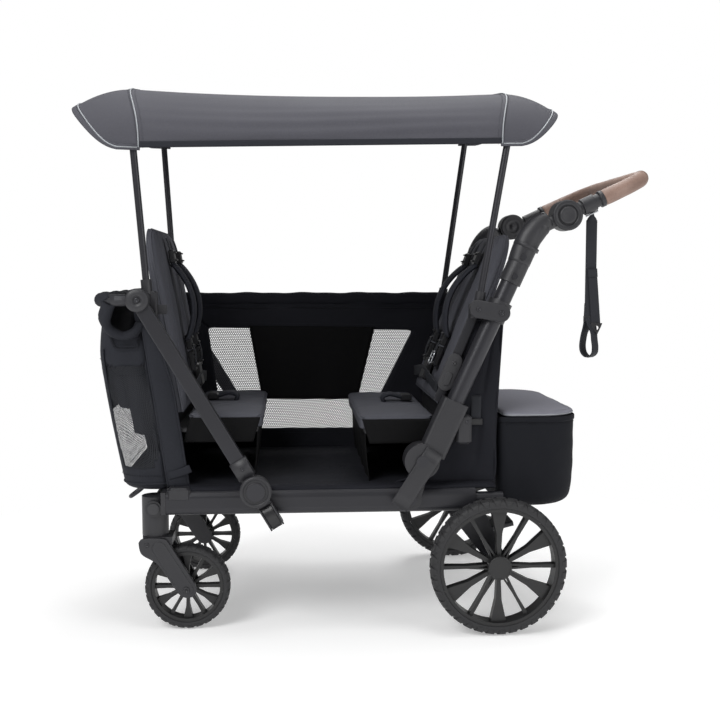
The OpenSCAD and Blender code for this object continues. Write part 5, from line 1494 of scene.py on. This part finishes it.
def wire_slider(name, seat, middle, width, height, wire):
    """A slider: a rounded rectangular ring of wire with a bar across."""
    ahead, across, up = middle
    corner = min(width, height) * 0.2
    ring = rounded_plan(-width / 2, width / 2, height / 2, corner, corner, 48)
    path = on_seat(seat, [(ahead, across + a, up + b) for a, b in ring])
    facing = np.subtract(*on_seat(seat, [AHEAD, (0, 0, 0)]))
    outer = sweep_piece(name, path, circle(wire, 8), facing, closed=True)
    bar = on_seat(seat, [(ahead, across + a, up) for a in (-width / 2, 0.0, width / 2)])
    return join(name, [outer, sweep_piece("slider_bar", bar, circle(wire, 8), UPWARDS)])


# %% [markdown]
# A shoulder pad bows up to 37 mm away from the seat back. Its section is a lens with bound edges.

# %% Shoulder straps
strap_side = 0.070
web_section = flat_section(0.025, 0.0018)
strap_buckles = ((0.84, 0.030, 0.012), (0.345, 0.034, 0.013), (0.235, 0.046, 0.012))


def lens(width, thickness, steps=9):
    """Section of a padded strap, thickest in its middle."""
    across = np.linspace(-1, 1, steps)
    top = np.stack([across * width / 2, thickness / 2 * (0.30 + 0.70 * (1 - across ** 4))], axis=1)
    return np.vstack([top, -top])


def strap_path(seat, side, low, high, bow, lift, drift=0.0):
    """Points up a seat back from one share of its length to another, standing off in a bow."""
    k = np.linspace(0, 1, 28)
    up = SEATS[seat][1] * (low + (high - low) * k)
    ahead = lift + bow * np.sin(np.pi * k) ** 0.8
    return on_seat(seat, np.stack([ahead, side * (strap_side + drift * (1 - k)), up], axis=1))


def harness(seat):
    """Pads, webbing and plastic of one seat's harness."""
    body, length = f"{seat}_back", SEATS[seat][1]
    pads, bands, plastic = [], [], []
    for side in SIDES:
        pad_path = strap_path(seat, side, 0.36, 0.80, 0.030, 0.007, 0.008)
        pads.append(sweep_piece("shoulder_pad", pad_path, lens(0.046, 0.012), ACROSS))
        for edge in SIDES:
            hem = pad_path + (0, edge * 0.0228, 0)
            pads.append(sweep_piece("pad_binding", hem, circle(0.0030, 8), ACROSS))
        for run in ((0.78, 0.95, 0.004, 0.004), (0.17, 0.38, 0.012, 0.008, 0.006)):
            bands.append(sweep_piece("shoulder_web", strap_path(seat, side, *run), web_section, ACROSS))
        y = side * strap_side
        for share, tall, thick in strap_buckles:
            up = length * share
            plastic.append(box_piece("strap_buckle", (0.004, y - 0.017, up - tall / 2),
                                     (0.004 + thick, y + 0.017, up + tall / 2), seat))
            for rung in (-0.28, 0.28):
                bar = [(0.006 + thick, y + w, up + rung * tall) for w in (-0.015, 0.0, 0.015)]
                plastic.append(sweep_piece("buckle_rung", on_seat(seat, bar), circle(0.0020, 8), UPWARDS))
    up = length * 0.14
    plastic.append(box_piece("lap_buckle", (0.004, -0.028, up - 0.026), (0.018, 0.028, up + 0.026), seat))
    lap = on_seat(seat, [(0.006 + 0.010 * math.cos(y * 7), y, length * (0.10 + 0.02 * math.cos(y * 14)))
                         for y in np.linspace(-0.205, 0.205, 30)])
    bands.append(sweep_piece("lap_web", lap, web_section, UPWARDS))
    pad = finish_piece(join(f"{seat}_shoulder_pads", pads), body, strap_cloth, [f"{seat}_harness"])
    finish_piece(join(f"{seat}_straps", bands), body, webbing)
    finish_piece(join(f"{seat}_buckles", plastic), body, buckle_plastic)


for seat in SEATS:
    harness(seat)
slider_place = (0.021, strap_side, SEATS["rear"][1] * 0.215)
finish_piece(wire_slider("rear_slider", "rear", slider_place, 0.036, 0.030, 0.0021), "rear_back", bare_steel)

# %% [markdown]
# Between the knees a short padded strap rises from the cushion and ends in a buckle's socket.

# %% Crotch straps
knee_pads, knee_sockets = [], []
for seat, (x_low, x_high, board_z) in cushion_places.items():
    z = board_z + cushion_thickness
    facing = SEATS[seat][3]
    start = x_low + 0.088 if seat == "front" else x_high - 0.088
    strap = [(start + facing * along, 0.0, z + up)
             for along, up in ((0.0, -0.002), (0.004, 0.010), (-0.014, 0.017), (-0.042, 0.010))]
    knee_pads.append(sweep_piece("knee_pad", smooth_path(strap, 0.005), lens(0.040, 0.010), ACROSS))
    knee_sockets.append(box_piece("knee_socket", (start - facing * 0.038, -0.021, z + 0.002),
                                  (start - facing * 0.064, 0.021, z + 0.017)))
knee = finish_piece(join("knee_straps", knee_pads), "chassis", strap_cloth, ["crotch_straps"])
finish_piece(join("knee_buckles", knee_sockets), "chassis", buckle_plastic)

# %% [markdown]
# ## The leather grip
# The bow of the handle is wrapped in leather. The rule `on_handle` measures along the sloping arms, so the
# bow is two straight runs and two quarter turns. The wrap draws in at its ends and is gathered by a seam on
# the inner side, which is sewn with thick thread.

# %% Grip
hub_place = np.array([0.426, 0.0, 0.879])
handle_slope = math.radians(24.5)
handle_along = np.array([math.cos(handle_slope), 0.0, math.sin(handle_slope)])
handle_up = np.array([-math.sin(handle_slope), 0.0, math.cos(handle_slope)])
arm_y, grip_start, handle_reach, bow_corner, grip_radius = 0.260, 0.088, 0.2088, 0.105, 0.0170


def on_handle(along, across, up=0.0):
    """A point of the handle's own frame: along its arms, across the wagon and up from the bow's plane."""
    return hub_place + along * handle_along + np.array([0.0, across, 0.0]) + up * handle_up


turn = np.linspace(0, math.pi / 2, 15)
bow = [on_handle(along, -arm_y) for along in np.linspace(grip_start, handle_reach - bow_corner, 4)[:-1]]
bow += [on_handle(handle_reach - bow_corner + bow_corner * math.sin(t),
                  -arm_y + bow_corner - bow_corner * math.cos(t)) for t in turn]
bow += [point * (1, -1, 1) for point in reversed(bow)]
bow = smooth_path(bow, 0.006)
grip = sweep_piece("leather_wrap", bow, circle(1.0, 32), handle_up)
share = np.linspace(0, 1, len(bow))
radius = grip_radius - 0.0016 * (np.exp(-(share / 0.006) ** 2) + np.exp(-((1 - share) / 0.006) ** 2))
radius += 0.0003 * np.sin(share * 61) * np.sin(share * 23 + 1)
dents = radius[:, None] - 0.0012 * np.exp(-((np.arange(32) - 24) / 0.9) ** 2)[None, :]
ring_points = scale_rings(grip, bow, 32, dents)
finish_piece(grip, "handle", leather, ["handle_grip"])
inner_seam = [list(bow + (ring_points[:, k] - bow) * 1.02) for k in (23, 25)]
stitches("grip_seam", inner_seam, "handle", leather, 0.0055, 0.0036, 0.0011)
collars = []
for side in SIDES:
    path = np.array([on_handle(grip_start + d, side * arm_y) for d in (-0.0060, -0.0030, 0.0, 0.0025)])
    collars.append(sweep_piece("grip_collar", path, circle(0.0176, 32), handle_up))
finish_piece(join("grip_collars", collars), "handle", moulded_plastic)

# %% [markdown]
# ## Small fittings
# The CAD gives the fittings their size. Some of their small forms are added here, each on its own body: domed
# caps, grooved rings, cover plates and bolts. A turned piece is a profile of radius and height spun about an
# axle, and a plate is a capsule with cut edges.

# %% Turned pieces and plates
plate_edge = 0.0012


def turned(name, profile, x, z, side, sides=44):
    """Spins pairs of radius and distance from the wagon's middle about an axle across the wagon."""
    turn = 2 * np.pi * np.arange(sides) / sides
    points = [(x + r * math.cos(t), side * y, z + r * math.sin(t)) for r, y in profile for t in turn]
    return face_outwards(new_piece(name, points, grid_faces(len(profile), sides, wrap=True)))


def capsule_plate(name, start, end, radius, inner, outer, side):
    """A plate between two points of the side view, with round ends and cut edges."""
    start, end = np.array(start), np.array(end)
    heading = math.atan2(*(end - start)[::-1])
    arc = np.linspace(-math.pi / 2, math.pi / 2, 14)
    points = []
    for y, r in ((inner, 0.0), (inner, radius), (outer - plate_edge, radius), (outer, radius - plate_edge),
                 (outer, 0.0)):
        ends = [(middle + sign * r * np.array([math.cos(heading + t), math.sin(heading + t)]))
                for middle, sign in ((end, 1), (start, -1)) for t in arc]
        points += [(x, side * y, z) for x, z in ends]
    return face_outwards(new_piece(name, points, grid_faces(5, 28, wrap=True), smooth=False))


def plate_piece(name, outline, inner, outer, side):
    """A plate with a rounded outline in the side view, its corners cut twice, and worn edges."""
    points = np.array(outline)
    for _ in range(2):
        after = np.roll(points, -1, axis=0)
        points = np.stack([0.75 * points + 0.25 * after, 0.25 * points + 0.75 * after], axis=1).reshape(-1, 2)
    count = len(points)
    places = [(x, side * y, z) for y in (inner, outer) for x, z in points]
    faces = [(k, (k + 1) % count, count + (k + 1) % count, count + k) for k in range(count)]
    faces += [tuple(range(count)), tuple(range(count, 2 * count))]
    made = face_outwards(new_piece(name, places, faces, smooth=False))
    bevel = made.modifiers.new("cut_edges", "BEVEL")
    bevel.width = plate_edge
    bevel.segments = 2
    return apply_modifiers(made)


def dome_bolt(x, z, y, radius, side):
    """Low dome with a dimple, as on a socket screw."""
    profile = [(radius * r, y + radius * h) for r, h in
               ((1.0, 0.0), (0.97, 0.22), (0.75, 0.42), (0.46, 0.48), (0.42, 0.20), (0.0, 0.20))]
    return turned("dome_bolt", profile, x, z, side, 24)


def side_box(name, low, high, side):
    """A block on one side, given as on the right."""
    return box_piece(name, np.multiply(low, (1, side, 1)), np.multiply(high, (1, side, 1)))


# %% [markdown]
# Knuckles and strut hubs are chassis pieces. The knuckle's cap is a shallow dome with a screw, the strut's
# foot sits in a plastic sleeve with a channel below it, and its hub has two raised rings.

# %% Knuckles, strut hubs, brackets and rail feet
strut_hub = np.array([-0.224, 0.309])
knuckle = np.array([-0.460, 0.704])
up_strut = (knuckle - strut_hub) / np.linalg.norm(knuckle - strut_hub)
across_strut = np.array([up_strut[1], -up_strut[0]])
cut_corners = np.array([(-1, -0.8), (-0.9, -1), (0.9, -1), (1, -0.8)])
cut_corners = np.vstack([cut_corners, -cut_corners])
knuckle_cap = [(0.0240, 0.3086), (0.0234, 0.3104), (0.0205, 0.3124), (0.0140, 0.3134), (0.0100, 0.3134),
               (0.0094, 0.3120), (0.0, 0.3120)]
bracket_ends = (0.2385, 0.6845), (0.2865, 0.6760)
channel_bars = ((0.0, 0.0115, 0.0006, 0.3056), (0.0140, 0.0016, 0.0030, 0.3066),
                (-0.0140, 0.0016, 0.0030, 0.3066))


def strut_bar(name, line, y, half_width, half_depth):
    """A bar with cut corners along a strut."""
    return sweep_piece(name, [(x, y, z) for x, z in line], cut_corners * (half_width, half_depth),
                       (up_strut[1], 0, -up_strut[0]))


plastic, screws, channels = [], [], []
for side in SIDES:
    plastic.append(turned("knuckle_cap", knuckle_cap, *knuckle, side))
    screws.append(dome_bolt(*knuckle, 0.3120, 0.0058, side))
    plastic.append(side_box("pole_cleat", (-0.446, 0.252, 0.664), (-0.424, 0.270, 0.722), side))
    plastic.append(side_box("pole_tab", (-0.426, 0.254, 0.674), (-0.405, 0.262, 0.694), side))
    for outer, width in ((0.0324, 0.0075), (0.0208, 0.0040)):
        ring = [(outer, 0.3130), (outer - 0.0008, 0.3152), (outer - width / 2, 0.3160),
                (outer - width + 0.0008, 0.3152), (outer - width, 0.3130)]
        plastic.append(turned("strut_hub_ring", ring, *strut_hub, side))
    foot = [strut_hub + up_strut * d for d in (0.034, 0.054, 0.074)]
    plastic.append(strut_bar("strut_sleeve", foot, side * 0.2956, 0.0185, 0.0128))
    screws.append(dome_bolt(*foot[1], 0.3083, 0.0042, side))
    plastic.append(capsule_plate("bracket_plate", *bracket_ends, 0.0185, 0.2830, 0.3025, side))
    screws += [dome_bolt(*end, 0.3022, radius, side) for end, radius in zip(bracket_ends, (0.0052, 0.0060))]
    plastic.append(side_box("clamp_wing", (0.196, 0.262, 0.400), (0.2285, 0.289, 0.462), side))
    screws.append(dome_bolt(0.219, 0.447, 0.2888, 0.0042, side))
    link_path = [(0.074 + 0.076 * k, side * 0.3010, 0.272 + 0.116 * k) for k in np.linspace(0, 1, 6)]
    plastic.append(sweep_piece("link_cover", link_path, flat_section(0.040, 0.0045), (0.836, 0, -0.548)))
    plastic.append(side_box("rail_foot", (-0.409, 0.2475, 0.284), (-0.360, 0.2808, 0.3125), side))
for side in SIDES:
    for shift, half, depth, y in channel_bars:
        line = [strut_hub - up_strut * d + across_strut * shift for d in (0.036, 0.062, 0.0875)]
        (plastic if shift else channels).append(strut_bar("strut_channel", line, side * y, half, depth))
finish_piece(join("strut_channels", channels), "chassis", buckle_plastic)
finish_piece(join("fitting_caps", plastic), "chassis", moulded_plastic)
finish_piece(join("fitting_screws", screws), "chassis", bolt_steel)
half_tow = [(-0.476, -0.014, 0.280), (-0.500, -0.022, 0.258), (-0.520, -0.017, 0.243)]
tow = half_tow + [(-0.526, 0.0, 0.239)] + [(x, -y, z) for x, y, z in reversed(half_tow)]
finish_piece(sweep_piece("tow_loop", smooth_path(tow, 0.004), circle(0.0042, 12), (0, 1, 0.3)), "chassis",
             frame_paint)

# %% [markdown]
# The elbow is fuller than its tube: a shell thickens it on the way to the hinge, and a thin collar parts
# shell and tube. The shell's section is an ellipse, so its rings are scaled by two radii.

# %% Elbows and hinges
elbow_y = 0.275
tube_along = np.array([0.4125, 0.0, 0.9110])
elbow_line = smooth_path([(0.3265, 0, 0.780), (0.3370, 0, 0.807), (0.3500, 0, 0.834), (0.3680, 0, 0.857),
                          (0.3880, 0, 0.8705)], 0.005)
steps = np.linspace(0, 1, len(elbow_line))
in_plane = 0.0238 + 0.0024 * np.sin(np.pi * steps) - 0.0050 * steps ** 4
across_plane = 0.0238 - 0.0045 * steps
hub_x, _, hub_z = hub_place
hub_ring = [(0.0318, 0.2885), (0.0312, 0.2912), (0.0285, 0.2922), (0.0228, 0.2918), (0.0205, 0.2902),
            (0.0200, 0.2885)]
elbow_shells = []
for side in SIDES:
    path = elbow_line + (0, side * elbow_y, 0)
    shell = sweep_piece("elbow_shell", path, circle(1.0, 28), ACROSS)
    points = scale_rings(shell, path, 28, in_plane[:, None])
    squeeze = (across_plane / in_plane)[:, None]
    points[..., 1] = side * elbow_y + (points[..., 1] - side * elbow_y) * squeeze
    shell.data.vertices.foreach_set("co", points.ravel())
    shell.data.update()
    collar = [np.array([0.3420, side * elbow_y, 0.8140]) + tube_along * d for d in (-0.0035, 0.0, 0.0035)]
    elbow_shells += [shell, sweep_piece("elbow_collar", collar, circle(0.0278, 32), ACROSS),
                     turned("hub_ring", hub_ring, hub_x, hub_z, side)]
finish_piece(join("elbow_shells", elbow_shells), "chassis", moulded_plastic)

# %% [markdown]
# The hinges' inner faces belong to the handle, the dishes to the buttons and the latch faces to the latches.

# %% Hinge faces, buttons and latches
hub_face = [(0.0300, 0.2500), (0.0294, 0.2484), (0.0265, 0.2480), (0.0226, 0.2492), (0.0190, 0.2484),
            (0.0146, 0.2480), (0.0136, 0.2494), (0.0062, 0.2494), (0.0050, 0.2470), (0.0, 0.2464)]
button_dish = [(0.0172, 0.2920), (0.0170, 0.2936), (0.0150, 0.2940), (0.0100, 0.2932), (0.0, 0.2927)]
inner_rings = []
for side, side_name in zip(SIDES, SIDE_NAMES):
    inner_rings.append(turned("hub_face", hub_face, hub_x, hub_z, side))
    dish = turned(f"{side_name}_button_dish", button_dish, hub_x, hub_z, side)
    finish_piece(dish, f"{side_name}_handle_button", button_plastic)
    latch = [capsule_plate("latch_face", (0.1768, 0.5260), (0.1962, 0.5730), 0.0165, 0.2548, 0.2588, side),
             capsule_plate("latch_slot", (0.1780, 0.5290), (0.1838, 0.5430), 0.0080, 0.2580, 0.2606, side),
             dome_bolt(0.1945, 0.5690, 0.2586, 0.0050, side)]
    finish_piece(join(f"{side_name}_latch_face", latch), f"{side_name}_slide_latch", button_plastic)
finish_piece(join("hub_faces", inner_rings), "handle", moulded_plastic)

# %% [markdown]
# A short strap with a ladder lock ties the cabin's rear corner to the frame.

# %% Corner straps
corner_web, corner_locks = [], []
for side in SIDES:
    web = [(0.2440, side * 0.2500, 0.500), (0.2435, side * 0.2515, 0.470), (0.2430, side * 0.2505, 0.438)]
    corner_web.append(sweep_piece("corner_web", smooth_path(web, 0.005), flat_section(0.022, 0.0022), AHEAD))
    corner_locks.append(side_box("corner_lock", (0.230, 0.2500, 0.436), (0.257, 0.2570, 0.450), side))
finish_piece(join("corner_webs", corner_web), "chassis", webbing)
finish_piece(join("corner_locks", corner_locks), "chassis", buckle_plastic)

# %% [markdown]
# Each leg of a caster's fork wears a broad cover, the outer one with a raised middle and the axle's screw.

# %% Fork covers
fork_axle = (-0.3730, 0.0910)
fork_outline = [(-0.4726, 0.2030), (-0.4162, 0.2030), (-0.4090, 0.1935), (-0.3526, 0.0999), (-0.3507, 0.0879),
                (-0.3574, 0.0771), (-0.3694, 0.0723), (-0.3826, 0.0759), (-0.3934, 0.0867), (-0.4294, 0.1455),
                (-0.4426, 0.1546), (-0.4654, 0.1666), (-0.4707, 0.1791)]
for side, side_name in zip(SIDES, SIDE_NAMES):
    covers = [plate_piece("outer_cover", fork_outline, 0.2505, 0.2622, side),
              plate_piece("inner_cover", fork_outline, 0.1885, 0.1990, side),
              capsule_plate("raised_plate", (-0.4290, 0.1810), fork_axle, 0.0150, 0.2610, 0.2636, side),
              dome_bolt(*fork_axle, 0.2634, 0.0075, side), dome_bolt(-0.4539, 0.1887, 0.2620, 0.0050, side)]
    finish_piece(join(f"{side_name}_fork_covers", covers), f"{side_name}_caster", moulded_plastic)

# %% [markdown]
# A raised ring frames each wheel's cap.

# %% Rings on the wheel caps
for side, side_name in zip(SIDES, SIDE_NAMES):
    for place, cap in (("rear", 0.025), ("front", 0.017)):
        wheel = f"{side_name}_{place}"
        low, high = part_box(f"{wheel}_rim")
        middle = (low + high) / 2
        face = max(abs(low.y), abs(high.y))
        ring = [(cap - 0.0004, face - 0.0005), (cap - 0.0008, face + 0.0009), (cap - 0.0030, face + 0.0009),
                (cap - 0.0034, face - 0.0005)]
        made = turned(f"{wheel}_cap_ring", ring, middle.x, middle.z, side)
        finish_piece(made, f"{wheel}_wheel", rim_plastic)

# %% [markdown]
# ## Finishes for the rigid pieces
# Tubes, housings, wheels and buttons keep their CAD shapes. Each one only changes its material slot, so the
# mesh itself is never touched.

# %% Dress the rigid pieces
def both(*names):
    """Names of the left and right nodes."""
    return [f"{side}_{name}" for name in names for side in SIDE_NAMES]


rigid_finishes = {
    frame_paint: ["side_rails", "cross_tubes", "axle_brackets", "link_bars", "tow_eye", "canopy_ribs",
                  *both("front_strut")],
    tube_paint: ["front_bar", "front_canopy_poles", "rear_canopy_poles", *both("push_tube")],
    moulded_plastic: ["strut_hubs", "frame_knuckles", "pole_brackets", "handle_arms", "seat_boards",
                      "brake_pedal", *both("caster_housing", "caster_fork", "hinge_link", "elbow", "latch")],
    button_plastic: both("caster_lock", "hub_button"),
    rim_plastic: both("front_rim", "rear_rim"),
    bare_steel: ["rear_axle", "tether_bar"],
    bolt_steel: ["frame_bolts"],
}
for material, names in rigid_finishes.items():
    for name in names:
        node = NODES[name]
        if not node.material_slots:
            node.data.materials.append(material)
        for place in node.material_slots:
            place.material = material
    print(material.name, "on", len(names), "pieces")

# %% [markdown]
# ## The studio
# The photograph has a plain white ground and soft light from above and in front. Four large lamps and a dim
# sky light the wagon at a plain level. To the camera alone, the sky is white, and the ground fades to white a
# little way off, so that no horizon shows and the wagon still stands on its own soft shadow.

# %% Floor and sky
floor_half, floor_z = 8.0, -0.0006
floor_corners = [(floor_half * a, floor_half * b, floor_z) for a, b in ((-1, -1), (1, -1), (1, 1), (-1, 1))]
floor = new_piece("studio_floor", floor_corners, [(0, 1, 2, 3)])
floor_finish = Finish("studio_floor_finish", roughness=1.0, base_color=(0.80, 0.80, 0.80, 1.0),
                      specular_ior_level=0.0)
floor_x, floor_y, _ = floor_finish.axes(floor_finish.coords())
reach = (floor_x * floor_x + floor_y * floor_y).math("SQRT")
fade = ((reach - 0.62) / 0.75).math("MAXIMUM", 0.0).math("MINIMUM", 1.0)
seen = floor_finish.node("ShaderNodeLightPath", output="Is Camera Ray")
ground = floor_finish.node("ShaderNodeAddShader", {}, {
    0: Wire(floor_finish, floor_finish.shader.outputs[0]),
    1: floor_finish.node("ShaderNodeEmission", {}, {"Strength": 0.34})})
white = floor_finish.node("ShaderNodeEmission", {}, {"Strength": 1.0})
mixed = floor_finish.node("ShaderNodeMixShader", {}, {0: seen * fade, 1: ground, 2: white})
floor_finish.feed(floor_finish.tree.nodes["Material Output"].inputs["Surface"], mixed)
floor.data.materials.append(floor_finish.material)

world = bpy.data.worlds.new("studio_sky")
bpy.context.scene.world = world
world.use_nodes = True
sky = Graph(world.node_tree)
seen = sky.node("ShaderNodeLightPath", output="Is Camera Ray")
strength = sky.node("ShaderNodeMapRange", {}, {"Value": seen, "To Min": 0.26, "To Max": 1.0})
sky_light = sky.tree.nodes["Background"].inputs
sky.feed(sky_light["Color"], (1.0, 1.0, 1.0, 1.0))
sky.feed(sky_light["Strength"], strength)
bpy.context.scene.view_settings.view_transform = "Standard"


# %% Lamps
def lamp(name, place, target, size, power):
    """A square soft lamp at a place, turned to a target."""
    light = bpy.data.lights.new(name, "AREA")
    light.shape = "SQUARE"
    light.size = size
    light.energy = power
    made = bpy.data.objects.new(name, light)
    made.location = place
    made.rotation_euler = (Vector(target) - Vector(place)).to_track_quat("-Z", "Y").to_euler()
    bpy.context.scene.collection.objects.link(made)


wagon_middle = (cad_low + cad_high) / 2
lamp("key_lamp", (-1.9, -2.5, 2.9), wagon_middle, 1.8, 84.0)
lamp("fill_lamp", (2.6, -2.2, 1.6), wagon_middle, 2.0, 30.0)
lamp("top_lamp", (0.2, 0.2, 3.4), wagon_middle, 2.4, 62.0)
lamp("rear_lamp", (0.6, 2.6, 3.4), wagon_middle, 1.6, 34.0)
print("lamps", len(bpy.data.lights))
